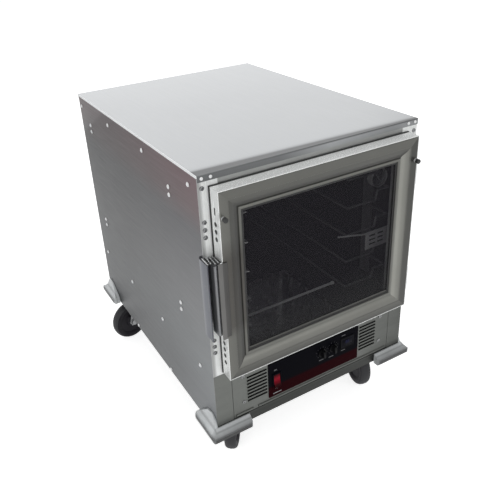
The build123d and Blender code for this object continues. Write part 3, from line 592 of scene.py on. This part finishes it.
class PROOFER_OT_finishes(bpy.types.Operator):
    """Gives every CAD node its finish"""

    bl_idname = "proofer.finishes"
    bl_label = "Finish the frame"

    def execute(self, context):
        colours = context.scene.proofer_colours
        for step in (self.dress_shell, self.dress_top, self.dress_front, self.dress_door, self.dress_fittings,
                     self.dress_latch, self.dress_bumpers, self.dress_dial_and_window, self.dress_controls):
            step(colours)
        return {"FINISHED"}

    def dress_shell(self, colours):
        """Rolled sheet; the left side has painted light and shade where the room would give it: a run of light and
        shade over its height and depth, a painted reddish reflection near its top and a painted light patch at its
        rear top corner.
        """
        side = sheet_finish("mill_aluminium", colours.side, (1, 0.15, 8), (0.38, 0.46), cloud=0.05, relief=0.012)
        # painted light and shade up the left side: a little lighter in its lower half and darker towards the top, with
        # a painted reddish reflection there
        tint_across(side, "Z", 0, 671, (0, (0.96, 0.99, 1.02)), (0.1, (0.9, 0.93, 0.96)),
                    (0.3, (1.04, 1.08, 1.1)), (0.52, (0.96, 0.96, 0.98)), (0.8, (0.6, 0.59, 0.62)),
                    (0.88, (0.7, 0.5, 0.52)), (0.97, (0.74, 0.46, 0.5)), (1, (0.72, 0.44, 0.47)))
        # painted light: the left side is lighter towards the front and darker towards the rear
        tint_across(side, "Y", 0, 762, (0, 1.55), (0.12, 1.3), (0.33, 0.91), (0.6, 0.58), (0.88, 0.46), (1, 0.56))
        # painted light: a light patch over the rear top corner of the left side
        tint_by(side, slanting(side, (0, 1, 2), spot(0, 640, 600), spot(0, 780, 600)), (0, 1),
                (0.2, (1.04, 1.08, 1.08)), (0.4, (2.1, 2.6, 2.5)), (1, (2.7, 3.4, 3.2)))
        dress(side, "left_side")
        dress(sheet_finish("plain_aluminium", shade(colours.side, 1.7), (1, 0.15, 8), (0.38, 0.46), cloud=0.05,
                           relief=0.012), "right_side", "back_panel")
        dress(sheet_finish("inner_aluminium", colours.inner, (1, 0.15, 8), metallic=0.3),
              "slide_uprights", "module_tray")
        # painted shade: the chamber's floor strips and the module's deck are the inner sheet darkened to 0.3, for the
        # shade inside
        dress(sheet_finish("deck_aluminium", shade(colours.inner, 0.3), (1, 0.15, 8), (0.42, 0.52), 0.2, 0.03,
                           relief=0.01), "floor_strips", "module_deck")

    def dress_top(self, colours):
        """Bright sheet with painted shade over its folded front edge, painted light and shade along the lip, and
        painted shade towards the front.
        """
        top = sheet_finish("top_aluminium", colours.top, (8, 0.15, 1), (0.34, 0.4), cloud=0.012, relief=0.01)
        # painted shade over the top's rounded front bend, reaching further back at the left
        bend_shade = ramp_by(top, slanting(top, (0.032, 1, 0), spot(0, -2, 0), spot(0, 40, 0)),
                       (0, 0.3), (0.33, 0.29), (0.42, 0.54), (0.54, 0.82), (0.68, 0.97), (1, 1))
        # painted light and shade along the front lip: darkest at the left, lightest a little right of the middle
        lip = ramp_by(top, along(top, "X", LEFT_WALL, RIGHT_WALL), (0, 0.33), (0.33, 0.4), (0.56, 0.82),
                      (0.85, 0.62), (1, 0.56))
        tint_with(top, mix_colours(top, lip, bend_shade, across(top, "Z", 669, 671.5), "MIX"))
        # painted shade: the top is a little darker towards the front than at the back
        tint_across(top, "Y", 40, 762, (0, 0.88), (0.5, 0.92), (1, 0.99))
        dress(top, "top_panel")

    def dress_front(self, colours):
        """Sheet of the front face with painted shade towards the base and to the right, and the bright strips with
        painted light.
        """
        face = sheet_finish("face_aluminium", colours.face, (0.15, 8, 1))
        # painted shade towards the base of the posts, the module's face and the base pan
        tint_across(face, "Z", 20, 44, (0, 0.32), (0.25, 0.38), (0.4, 0.76), (1, 1))
        # painted shade towards the right of the front face, away from the light
        tint_by(face, along(face, "X", spot(60, 0, 0).x, RIGHT_WALL), (0, 1), (0.6, 0.86), (0.9, 0.7), (1, 0.62))
        dress(face, "lower_posts", "module_front", "base_pan")
        rail = sheet_finish("rail_aluminium", colours.rail, (0.15, 8, 1))
        # painted light: the header above the door is lighter than the sill below it
        tint_across(rail, "Z", 560, 600, (0, 0.46), (1, 1))
        dress(rail, "front_rails")
        # painted light: the door's edge bands take the near-white of the bright strips
        dress(sheet_finish("bright_aluminium", colours.jamb, (8, 8, 0.15), (0.2, 0.3), metallic=0.35),
              "door_edges")
        jamb = sheet_finish("jamb_aluminium", colours.jamb, (8, 8, 0.15), (0.24, 0.34), metallic=0.15)
        # painted reflection and shade across the left jamb: dark at its outer edge, near white towards the door
        tint_across(jamb, "X", -287, -262, (0, 0.38), (0.22, 0.52), (0.42, 1), (1, 1))
        dress(jamb, "door_jambs")

    def dress_door(self, colours):
        """Satin door frame: each moulded member has its own run of painted light and shade across its section, and the
        left stile a painted shadow beside the latch.
        """
        door = sheet_finish("door_aluminium", colours.door, (6, 6, 6), (0.3, 0.42), metallic=0.45)
        low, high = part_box("door_frame")
        members = []
        for axis, edge, way, stops in (("X", low.x, 1, LEFT_STILE_LIGHT), ("X", high.x, -1, RIGHT_STILE_LIGHT),
                                       ("Z", high.z, -1, TOP_RAIL_LIGHT), ("Z", low.z, 1, BOTTOM_RAIL_LIGHT)):
            distance = along(door, axis, edge, edge + way * FRAME_SECTION * MM)
            members.append((distance, ramp_by(door, distance, *stops)))
        # painted shadow on the left stile, between about 330 and 490 mm up, beside the latch
        shadow = ramp_by(door, across(door, "Z", 300, 540), (0, 1), (0.12, (0.56, 0.53, 0.52)),
                         (0.8, (0.52, 0.49, 0.48)), (1, 1))
        members[0] = (members[0][0], mix_colours(door, members[0][1], shadow))
        tint_members(door, members)
        dress(door, "door_frame")

    def dress_fittings(self, colours):
        """Plating, wire, steel and rubber of the hinges, slides, casters and the module's insides."""
        dress(plated_finish("bright_plating", colours.chrome), "hinge_leaves", "door_leaves")
        dress(sheet_finish("slide_wire", colours.wire, (8, 8, 8), (0.25, 0.35), metallic=0.5), "pan_slides_left")
        # painted shade: the right slides are the same wire darkened to 0.35, for the shade on that side of the chamber
        dress(sheet_finish("dim_wire", shade(colours.wire, 0.35), (8, 8, 8), (0.25, 0.35), metallic=0.2),
              "pan_slides_right")
        dress(plated_finish("zinc_plating", colours.zinc, 0.3, 0.45), "caster_plates", "blower_housing",
              "blower_wheel", *[f"caster_fork_{corner}" for corner in CORNERS])
        dress(plated_finish("drawn_steel", (0.4, 0.405, 0.405), 0.18, 0.32), "water_pan")
        dress(plated_finish("heated_steel", (0.22, 0.17, 0.13), 0.35, 0.55), "heating_elements")
        dress(moulded_finish("motor_paint", (0.02, 0.02, 0.022), 0.45), "blower_motor")
        dress(moulded_finish("black_rubber", (0.012, 0.012, 0.012), 0.62), "face_seal", "window_seal")
        dress(moulded_finish("tyre_rubber", (0.018, 0.018, 0.02), 0.6),
              *[f"caster_wheel_{corner}" for corner in CORNERS])
        studs = moulded_finish("stud_rubber", (0.55, 0.55, 0.55), 0.55)
        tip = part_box("door_studs")[0].y + 8 * MM
        tint_by(studs, along(studs, "Y", tip, tip + 0.4 * MM), (0, 0.03), (1, 1))
        dress(studs, "door_studs")

    def dress_latch(self, colours):
        """Satin steel of the latch with painted light and shade: the guard is painted brighter towards its back, the
        blade has a painted highlight along its middle and the plate painted shade to its right.
        """
        steel = plated_finish("latch_steel", colours.latch, 0.26, 0.4)
        # painted light and shade on the guard: darker and bluer across its middle, lighter towards its back
        tint_across(steel, "Y", -36, 0, (0, (0.95, 0.97, 1.03)), (0.45, (0.74, 0.78, 0.9)),
                    (0.8, (0.9, 0.95, 1.08)), (1, (1.5, 1.5, 1.56)))
        dress(steel, "latch_guard")
        plate = plated_finish("plate_steel", (0.122, 0.120, 0.117), 0.26, 0.4)
        # painted shade on the latch's plate, darker towards its right
        tint_across(plate, "X", -268, -258, (0, 1), (0.5, 0.66), (1, 0.56))
        dress(plate, "latch_body")
        blade = sheet_finish("blade_steel", (0.27, 0.275, 0.285), (8, 8, 0.15), (0.28, 0.38), metallic=0.3)
        low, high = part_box("latch_handle")
        # painted highlight along the middle of the blade, with painted shade at its edges
        tint_by(blade, along(blade, "X", low.x, high.x), (0, 0.5), (0.1, 0.64), (0.2, 1.2), (0.8, 1.2),
                (1, 0.8))
        dress(blade, "latch_handle")

    def dress_bumpers(self, colours):
        """Glossy grey moulding with painted highlights along its runs and painted shade on its undersides, in its
        grooves and over its front.
        """
        bumper = moulded_finish("bumper_plastic", colours.bumper, 0.34, gloss=0.5)
        # painted highlights and shade outwards from the walls: light along the runs, dark in the groove and at the
        # outer lower rim
        tint_by(bumper, outside_body(bumper, BUMPER_REACH * MM), (0, 0.95), (0.12, 1.25), (0.3, 1.3), (0.38, 0.93),
                (0.46, 0.93), (0.54, 1.32), (0.76, 1.32), (0.86, 1), (0.95, 0.4), (1, 0.15))
        # painted shade over the bumpers, darkest at their front
        tint_across(bumper, "Y", -BUMPER_REACH, 2, (0, 0.36), (0.45, 0.58), (0.8, 0.78), (1, 1))
        dress(bumper, "corner_bumpers")

    def dress_dial_and_window(self, colours):
        """The dial thermometer, and the dark pane, painted a little lighter towards its lower edge for the reflection
        it shows there.
        """
        # painted light: the dial's ring takes the near-white of the bright strips in a matt finish, for the shine of
        # its metal
        dress(sheet_finish("dial_ring", colours.jamb, (4, 4, 4), (0.25, 0.35), metallic=0.1), "thermometer_case")
        dress(moulded_finish("dial_card", (0.03, 0.03, 0.032), 0.55), "thermometer_face")
        dress(moulded_finish("needle_paint", (0.75, 0.75, 0.74), 0.45), "thermometer_needle")
        dress(clear_finish("dial_lens", (0.7, 0.72, 0.72), 0.12), "thermometer_lens")
        pane = clear_finish("window_pane", (0.021, 0.020, 0.024), 0.42)
        # painted reflection: the pane is lighter towards its lower edge
        colour_by(pane, across(pane, "Z", 240, 340), (0, (0.066, 0.065, 0.068)), (0.5, (0.052, 0.051, 0.055)),
                  (1, (0.038, 0.036, 0.042)))
        dress(pane, "window")

    def dress_controls(self, colours):
        """The printed overlay with its switch, knobs and readout."""
        dress(overlay_finish(colours), "control_panel")
        switch = moulded_finish("switch_plastic", colours.switch, 0.28, 1500.0, 0.03, gloss=0.05)
        low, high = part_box("power_switch")
        # painted light and shade across the rocker: lit a little above its middle, shaded towards its bottom and top
        tint_by(switch, along(switch, "Z", low.z, high.z), (0, 0.03), (0.2, 0.07), (0.45, 0.45), (0.66, 0.7),
                (0.85, 0.3), (1, 0.12))
        dress(switch, "power_switch")
        dress(moulded_finish("knob_plastic", (0.006, 0.006, 0.007), 0.42, gloss=0.08), "humidity_knob", "heat_knob",
              "thermostats", "power_inlet")
        dress(moulded_finish("readout_plastic", (0.003, 0.003, 0.004), 0.45, gloss=0.03), "readout")


def rivet_shape(sizes, radius):
    """A dome rivet's head."""
    rise = sizes.rivet_rise
    arc = [(radius * sin(step * pi / 8), rise * (0.15 + 0.85 * cos(step * pi / 8))) for step in range(5)]
    return turned_shape([*arc, (radius, 0)], sizes.turned_steps)


def screw_shape(sizes):
    """A pan-head screw with a driver recess."""
    rise, radius = sizes.screw_rise, sizes.screw_radius
    outline = [(0, rise * 0.45), (radius * 0.3, rise * 0.45), (radius * 0.42, rise), (radius * 0.7, rise * 0.93),
               (radius * 0.94, rise * 0.6), (radius, rise * 0.15), (radius, 0)]
    return turned_shape(outline, sizes.turned_steps)


class PROOFER_OT_rivets(bpy.types.Operator):
    """Sets the dome rivets of the sides, the front lip and the back"""

    bl_idname = "proofer.rivets"
    bl_label = "Set the rivets"

    def execute(self, context):
        sizes = context.scene.proofer_fasteners
        # painted highlight: the aluminium rivets are painted near white and matt, for the highlights on their domes
        finish = sheet_finish("rivet_aluminium", (0.98, 0.98, 0.98), (1, 1, 1), (0.2, 0.32), metallic=0.0)
        rows = [(depth, level) for level, depths in SIDE_RIVETS.items() for depth in depths]
        rows += [(depth, level) for depth in UPRIGHT_RIVET_DEPTHS for level in UPRIGHT_RIVET_LEVELS]
        left = [spot(LEFT_WALL / MM, depth, level) for depth, level in rows]
        right = [spot(RIGHT_WALL / MM, depth, level) for depth, level in rows]
        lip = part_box("top_panel")[0].y
        front = [Vector((x * MM, lip, BODY_LOW + LIP_RIVET_LEVEL * MM)) for x in LIP_RIVETS]
        rear = [spot(sign * REAR_RIVET_PLACE, (REAR_FACE - FRONT_FACE) / MM, level)
                for sign in (-1, 1) for level in REAR_RIVET_LEVELS]
        for name, radius, places, facing in (("rivets_left", sizes.rivet_radius, left, LEFTWARD),
                                             ("rivets_right", sizes.rivet_radius, right, RIGHTWARD),
                                             ("rivets_front", sizes.lip_rivet_radius, front, FORWARD),
                                             ("rivets_rear", sizes.rivet_radius, rear, BACKWARD)):
            set_heads(name, rivet_shape(sizes, radius), places, facing, "cabinet", finish)
        return {"FINISHED"}


class PROOFER_OT_screws(bpy.types.Operator):
    """Sets the pan-head screws of the posts, the hinges and the heater module"""

    bl_idname = "proofer.screws"
    bl_label = "Set the screws"

    def execute(self, context):
        finish = plated_finish("screw_steel", (0.2, 0.203, 0.206), 0.16, 0.28)
        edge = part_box("door_leaves")[0].x + DOOR_LEAF_SINK * MM
        posts = [spot(-POST_SCREW_PLACE, 0, level) for level in (*POST_SCREW_LEVELS, POST_TOP_SCREW_LEVEL)]
        posts.append(spot(POST_SCREW_PLACE, 0, POST_TOP_SCREW_LEVEL))
        posts += [spot(POST_SCREW_PLACE, HINGE_LEAF_FACE, level) for level in POST_SCREW_LEVELS]
        door = [Vector((edge, FRONT_FACE + DOOR_LEAF_SCREW_DEPTH * MM, BODY_LOW + level * MM))
                for level in DOOR_LEAF_LEVELS]
        module = [spot(sign * MODULE_SCREW_PLACE, 0, level) for sign in (-1, 1) for level in MODULE_SCREW_LEVELS]
        for name, places, facing, body in (("post_screws", posts, FORWARD, "cabinet"),
                                           ("door_leaf_screws", door, RIGHTWARD, "door"),
                                           ("module_screws", module, FORWARD, "module")):
            set_heads(name, screw_shape(context.scene.proofer_fasteners), places, facing, body, finish)
        return {"FINISHED"}


class PROOFER_OT_bolts(bpy.types.Operator):
    """Sets the bolts of the caster plates"""

    bl_idname = "proofer.bolts"
    bl_label = "Set the plate bolts"

    def execute(self, context):
        sizes, colours = context.scene.proofer_fasteners, context.scene.proofer_colours
        finish = plated_finish("bolt_steel", colours.zinc, 0.26, 0.4)
        head = bmesh.new()
        bmesh.ops.create_cone(head, cap_ends=True, segments=6, radius1=sizes.bolt_radius,
                              radius2=sizes.bolt_radius * 0.94, depth=PLATE_BOLT_RISE * MM)
        bmesh.ops.translate(head, vec=(0, 0, PLATE_BOLT_RISE / 2 * MM), verts=head.verts)
        wide, deep = PLATE_BOLT_REACH
        places = [spot(x + i * wide, y + j * deep, PLATE_FACE)
                  for x, y in CASTER_PLACES for i in (-1, 1) for j in (-1, 1)]
        set_heads("plate_bolts", head, places, DOWNWARD, "cabinet", finish)
        return {"FINISHED"}


class PROOFER_OT_trims(bpy.types.Operator):
    """Adds the top's white hems, the painted hole shades on the door's edge, the window's strip, the rods and the
    latch's caps
    """

    bl_idname = "proofer.trims"
    bl_label = "Fit the trims"

    def execute(self, context):
        colours = context.scene.proofer_colours
        # painted highlight: the white matt hems stand for the top sheet's side edges and the highlight along them; the
        # rods take the same white
        white = sheet_finish("hem_aluminium", (0.97, 0.975, 0.98), (8, 0.15, 8), (0.25, 0.35), metallic=0.0,
                             cloud=0.02)
        for name, x in (("hem_left", -HEM_PLACE), ("hem_right", HEM_PLACE)):
            hem = block((x - HEM_HALF_WIDTH, *HEM_REACH[0]), (x + HEM_HALF_WIDTH, *HEM_REACH[1]), 1.2, 3)
            add_piece(name, hem, "cabinet", white)
        # painted shade: a near-black finish for the dark insides of holes and slots, also used on the latch's caps
        dark = moulded_finish("hole_shade", (0.03, 0.03, 0.03), 0.7)
        self.mark_edge(dark)
        self.fit_strip(colours)
        self.cap_latch(colours, dark)
        self.hang_probes(white, dark)
        return {"FINISHED"}

    def mark_edge(self, dark):
        """Dark discs and a slot on the door's edge band, painted shade standing for the dark insides of its holes and
        slot.
        """
        marks = bmesh.new()
        hole = turned_shape(EDGE_HOLE_SHAPE, 16, MM)
        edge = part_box("door_edges")[0].x / MM
        stamp(marks, hole, [spot(edge, EDGE_HOLE_DEPTH, level) for level in EDGE_HOLE_LEVELS], LEFTWARD)
        hole.free()
        merge_into(marks, block((edge - 0.2, *EDGE_SLOT[0]), (edge, *EDGE_SLOT[1])))
        add_piece("edge_holes", marks, "door", dark)

    def fit_strip(self, colours):
        """A dull strip in front of the glass, along the window's lower edge."""
        low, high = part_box("window")
        near, far = (low.y + depth * MM for depth in STRIP_DEPTHS)
        bottom, top = (spot(0, 0, level).z for level in STRIP_LEVELS)
        strip = block_shape((low.x + STRIP_INSET * MM, near, bottom), (high.x - STRIP_INSET * MM, far, top), 0.4 * MM)
        dull = sheet_finish("strip_aluminium", shade(colours.door, 0.55), (8, 8, 8), metallic=0.2)
        add_piece("window_strip", strip, "door", dull)

    def hang_probes(self, bright, dark):
        """The bright rod low across the chamber, and the slotted holder with its short rod on the right."""
        rod = bmesh.new()
        for start, end, radius in RODS:
            start, end = spot(*start), spot(*end)
            length = (end - start).length
            bar = turned_shape([(0, 0), (radius * MM, 0), (radius * MM, length), (0, length)], 12)
            merge_into(rod, move_to(bar, start, turn_to(end - start)))
        merge_into(rod, block(*HOLDER, 0.6))
        add_piece("probe_rods", rod, "cabinet", bright)
        # painted shade: dark blocks on the holder stand for the dark insides of its slots
        slots = bmesh.new()
        near, far = HOLDER_SLOT_DEPTHS
        for level in HOLDER_SLOT_LEVELS:
            for start, end in HOLDER_SLOT_PLACES:
                merge_into(slots, block((start, near, level), (end, far, level + 4)))
        add_piece("probe_slots", slots, "cabinet", dark)

    def cap_latch(self, colours, dark):
        """Ribbed caps on the guard and on the latch, and the cover beside the latch's plate."""
        bright = plated_finish("rib_plating", colours.chrome, 0.14, 0.24)
        guard, latch = bmesh.new(), bmesh.new()
        for x in GUARD_RIBS:
            merge_into(guard, self.rib(x, GUARD_RIB_FRONT))
        for x in LATCH_RIBS:
            merge_into(latch, self.rib(x, LATCH_RIB_FRONT))
        merge_into(latch, block(*LATCH_TIP, 0.4))
        add_piece("guard_ribs", guard, "cabinet", bright)
        add_piece("latch_ribs", latch, "door", bright)
        # partly painted shadow: the dark caps under the ribs also stand for the shadow where the bright strips end
        # above the latch
        add_piece("guard_cap", block(*GUARD_CAP, 0.6), "cabinet", dark)
        add_piece("latch_cap", block(*LATCH_CAP, 0.6), "door", dark)
        steel = plated_finish("cover_steel", (0.13, 0.128, 0.125), 0.28, 0.4)
        add_piece("latch_cover", block(*LATCH_COVER, 0.5), "door", steel)

    def rib(self, x, front):
        """One rib that falls towards the front."""
        bottom, top = RIB_LEVELS
        shape = block((x - RIB_HALF_WIDTH, front, bottom), (x + RIB_HALF_WIDTH, RIB_BACK, top), 0.6)
        for corner in shape.verts:
            if corner.co.y < spot(0, front + 3, 0).y and corner.co.z > spot(0, 0, (bottom + top - 1) / 2).z:
                corner.co.z -= RIB_FALL * MM
        return shape


class PROOFER_OT_wheels(bpy.types.Operator):
    """Adds round tyres with a tread painted lighter for the light it catches from above, and bearing caps over the
    wheels
    """

    bl_idname = "proofer.wheels"
    bl_label = "Make the tyres"

    def execute(self, context):
        colours = context.scene.proofer_colours
        rubber = moulded_finish("wheel_rubber", (0.010, 0.009, 0.013), 0.62, gloss=0.25)
        # painted light: the tread is the tyre's rubber painted lighter, for the light that falls on it from above
        tread = moulded_finish("tread_rubber", (0.035, 0.035, 0.038), 0.6, gloss=0.3)
        steel = plated_finish("cap_steel", colours.zinc, 0.28, 0.4)
        joints = {joint["name"]: joint for joint in frame["joints"]}
        for corner in CORNERS:
            joint = joints[f"roll_{corner}"]
            centre, axle = Vector(joint["pos_m"]), Vector(joint["axis"])
            body = f"wheel_{corner}"
            shape = move_to(turned_shape(TYRE_OUTLINE, WHEEL_STEPS, MM), centre, turn_to(axle))
            tyre = add_piece(f"tyre_{corner}", shape, body, rubber, 40.0)
            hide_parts(f"caster_wheel_{corner}")
            band = move_to(turned_shape(TREAD_OUTLINE, WHEEL_STEPS, MM), centre, turn_to(axle))
            add_piece(f"tread_{corner}", band, body, tread, 40.0)
            caps, ring = bmesh.new(), turned_shape(CAP_OUTLINE, CAP_STEPS, MM)
            stamp(caps, ring, [centre], axle)
            stamp(caps, ring, [centre], -axle)
            ring.free()
            add_piece(f"bearing_caps_{corner}", caps, body, steel)
        return {"FINISHED"}


class PROOFER_OT_panel_print(bpy.types.Operator):
    """Prints the scales, marks and readout of the control panel"""

    bl_idname = "proofer.panel_print"
    bl_label = "Print the panel"

    def execute(self, context):
        colours = context.scene.proofer_colours
        ink = ink_finish("white_ink", colours.print)
        faint = ink_finish("grey_ink", colours.faint)
        scales, marks, rim = bmesh.new(), bmesh.new(), bmesh.new()
        printed = (PANEL_FACE - PRINT_RISE, PANEL_FACE)
        for x in KNOBS:
            for step in range(KNOB_STEPS):
                turn = radians(SCALE_START - KNOB_STEP_TURN * step)
                place = spot(x + KNOB_SCALE_RADIUS * cos(turn), PANEL_FACE, KNOB_LEVEL + KNOB_SCALE_RADIUS * sin(turn))
                merge_into(scales, lettering(str(step), FIGURE_HEIGHT * MM, place))
        for x, z, width in CAPTIONS:
            self.bar(scales, ((x - width / 2, z - CAPTION_HALF_HEIGHT), (x + width / 2, z + CAPTION_HALF_HEIGHT)),
                     printed)
        add_piece("knob_scales", scales, "module", faint, 0)
        for words, x, z in SWITCH_WORDS:
            merge_into(marks, lettering(words, SWITCH_WORD_HEIGHT * MM, spot(x, PANEL_FACE, z)))
        self.bar(marks, SWITCH_BAR, printed)
        add_piece("panel_marks", marks, "module", ink, 0)
        for corners in READOUT_RIM:
            self.bar(rim, corners, READOUT_RIM_DEPTHS)
        line = ink_finish("readout_line", (0.012, 0.0125, 0.018), 0.4, gloss=0.05)
        add_piece("readout_rim", rim, "module", line, 0)
        glass = ink_finish("readout_glass", (0.003, 0.003, 0.007), 0.3, 0.0, 0.03)
        add_piece("readout_screen", block(*READOUT_SCREEN, 0.2), "module", glass)
        digits = lettering("88", READOUT_DIGIT_HEIGHT * MM, spot(*READOUT_DIGITS))
        glow = ink_finish("readout_digits", (0.014, 0.016, 0.055), 0.4, 0.0, 0.05)
        add_piece("readout_digits", digits, "module", glow, 0)
        return {"FINISHED"}

    def bar(self, target, corners, depths):
        """A thin raised bar between two corners of (across, up)."""
        (left, bottom), (right, top) = corners
        merge_into(target, block((left, depths[0], bottom), (right, depths[1], top)))


class PROOFER_OT_dial_print(bpy.types.Operator):
    """Prints the scale of the dial thermometer"""

    bl_idname = "proofer.dial_print"
    bl_label = "Print the dial"

    def execute(self, context):
        low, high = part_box("thermometer_face")
        centre = (low + high) / 2
        face = low.y
        ink = ink_finish("dial_ink", (0.75, 0.75, 0.74), 0.5)
        scale = bmesh.new()
        half = DIAL_MARK_HALF_WIDTH * MM
        for step in range(DIAL_MARKS + 1):
            turn = radians(SCALE_START - DIAL_SWEEP * step / DIAL_MARKS)
            length = DIAL_MARK_LENGTHS[1 if step % 5 else 0]
            mark = block_shape((DIAL_RADIUS * MM - length * MM, -DIAL_PRINT_RISE * MM, -half),
                               (DIAL_RADIUS * MM, 0, half))
            merge_into(scale, move_to(mark, (centre.x, face, centre.z), Matrix.Rotation(-turn, 4, "Y")))
        for step in range(DIAL_FIGURES + 1):
            turn = radians(SCALE_START - DIAL_SWEEP * step / DIAL_FIGURES)
            place = Vector((centre.x + DIAL_FIGURE_RADIUS * MM * cos(turn), face,
                            centre.z + DIAL_FIGURE_RADIUS * MM * sin(turn)))
            merge_into(scale, lettering(str(step * 10 + 20), FIGURE_HEIGHT * MM, place, 0.1 * MM))
        add_piece("dial_scale", scale, "cabinet", ink, 0)
        return {"FINISHED"}


class PROOFER_OT_stage(bpy.types.Operator):
    """Lays the floor, hangs the lamps and stands the camera"""

    bl_idname = "proofer.stage"
    bl_label = "Set the stage"

    def execute(self, context):
        stage = context.scene.proofer_stage
        self.lay_floor(stage)
        for name, place, aim, size in LAMPS:
            self.hang_lamp(name, place, aim, size, getattr(stage, name))
        self.light_world(context, stage)
        self.stand_camera(context, stage)
        return {"FINISHED"}

    def lay_floor(self, stage):
        """A wide plain floor that the camera sees as white and that keeps the cabinet's shadow."""
        shape = bmesh.new()
        bmesh.ops.create_grid(shape, x_segments=1, y_segments=1, size=FLOOR_REACH)
        finish = new_finish("floor_paint", stage.floor, Roughness=0.9)
        roughness_by(finish, pattern(finish, (1, 1, 1), Scale=2.0, Detail=2.0), 0.85, 0.95)
        self.lift_floor(finish, stage.floor_glow)
        add_object("floor", finished_mesh("floor", shape, finish))

    def seen_rays(self, owner):
        """1 for the rays that see the background: from the camera, off metal and through glass."""
        path = add_node(owner, "LightPath")
        seen = path.outputs["Is Camera Ray"]
        for kind in ("Is Glossy Ray", "Is Transmission Ray"):
            seen = measure(owner, "MAXIMUM", seen, path.outputs[kind])
        return seen

    def lift_floor(self, finish, glow):
        """Lets the camera see the floor as white, with the cabinet's shadow kept on it."""
        nodes, links = finish.node_tree.nodes, finish.node_tree.links
        strength = measure(finish, "MULTIPLY", self.seen_rays(finish), glow)
        light = add_node(finish, "Emission", {"Strength": strength})
        plain = nodes["Principled BSDF"].outputs["BSDF"]
        both = add_node(finish, "AddShader", {0: plain, 1: light.outputs["Emission"]})
        links.new(both.outputs["Shader"], nodes["Material Output"].inputs["Surface"])

    def hang_lamp(self, name, place, aim, size, power):
        """A soft square lamp that faces its aim."""
        lamp = bpy.data.lights.new(f"lamp_{name}", "AREA")
        lamp.size = size
        lamp.energy = power
        holder = add_object(f"lamp_{name}", lamp)
        holder.location = place
        holder.rotation_euler = (Vector(aim) - Vector(place)).to_track_quat("-Z", "Y").to_euler()

    def light_world(self, context, stage):
        """An even grey sky that the camera sees as white."""
        world = context.scene.world or bpy.data.worlds.new("studio")
        context.scene.world = world
        world.use_nodes = True
        world.node_tree.nodes.clear()
        sky = add_node(world, "Background", {"Color": (0.97, 0.99, 1, 1), "Strength": stage.sky}).outputs[0]
        white = add_node(world, "Background", {"Color": (1, 1, 1, 1)}).outputs[0]
        mix = add_node(world, "MixShader", {"Fac": self.seen_rays(world), 1: sky, 2: white})
        add_node(world, "OutputWorld", {"Surface": mix.outputs["Shader"]})

    def stand_camera(self, context, stage):
        """The camera at the photograph's angle."""
        data = bpy.data.cameras.new("camera")
        data.lens = stage.lens
        data.shift_x, data.shift_y = stage.shift
        camera = add_object("camera", data)
        turn, rise = stage.azimuth, stage.elevation
        back = Vector((sin(turn) * cos(rise), -cos(turn) * cos(rise), sin(rise)))
        aim = (-back).to_track_quat("-Z", "Y").to_matrix() @ Matrix.Rotation(stage.roll, 3, "Z")
        camera.matrix_world = Matrix.Translation(stage.camera) @ aim.to_4x4()
        context.scene.camera = camera


class PROOFER_PT_panel(bpy.types.Panel):
    """Lists the cabinet's steps and settings"""

    bl_idname = "PROOFER_PT_panel"
    bl_label = "Heated Proofer Cabinet"
    bl_space_type = "VIEW_3D"
    bl_region_type = "UI"
    bl_category = "Proofer"

    def draw(self, context):
        for operator in OPERATORS:
            self.layout.operator(operator.bl_idname)
        for group in (context.scene.proofer_fasteners, context.scene.proofer_colours, context.scene.proofer_stage):
            for name in group.__annotations__:
                self.layout.prop(group, name)


OPERATORS = (PROOFER_OT_finishes, PROOFER_OT_rivets, PROOFER_OT_screws, PROOFER_OT_bolts, PROOFER_OT_trims,
             PROOFER_OT_wheels, PROOFER_OT_panel_print, PROOFER_OT_dial_print, PROOFER_OT_stage)
GROUPS = {"proofer_fasteners": ProoferFasteners, "proofer_colours": ProoferColours, "proofer_stage": ProoferStage}


def register():
    for name, group in GROUPS.items():
        bpy.utils.register_class(group)
        setattr(bpy.types.Scene, name, PointerProperty(type=group))
    for operator in OPERATORS:
        bpy.utils.register_class(operator)
    bpy.utils.register_class(PROOFER_PT_panel)


def unregister():
    bpy.utils.unregister_class(PROOFER_PT_panel)
    for operator in reversed(OPERATORS):
        bpy.utils.unregister_class(operator)
    for name, group in GROUPS.items():
        delattr(bpy.types.Scene, name)
        bpy.utils.unregister_class(group)


def main():
    register()
    bpy.context.scene.view_settings.view_transform = "Standard"
    bpy.ops.proofer.finishes()
    bpy.ops.proofer.rivets()
    bpy.ops.proofer.screws()
    bpy.ops.proofer.bolts()
    bpy.ops.proofer.trims()
    bpy.ops.proofer.wheels()
    bpy.ops.proofer.panel_print()
    bpy.ops.proofer.dial_print()
    bpy.ops.proofer.stage()


if __name__ == "__main__":
    main()
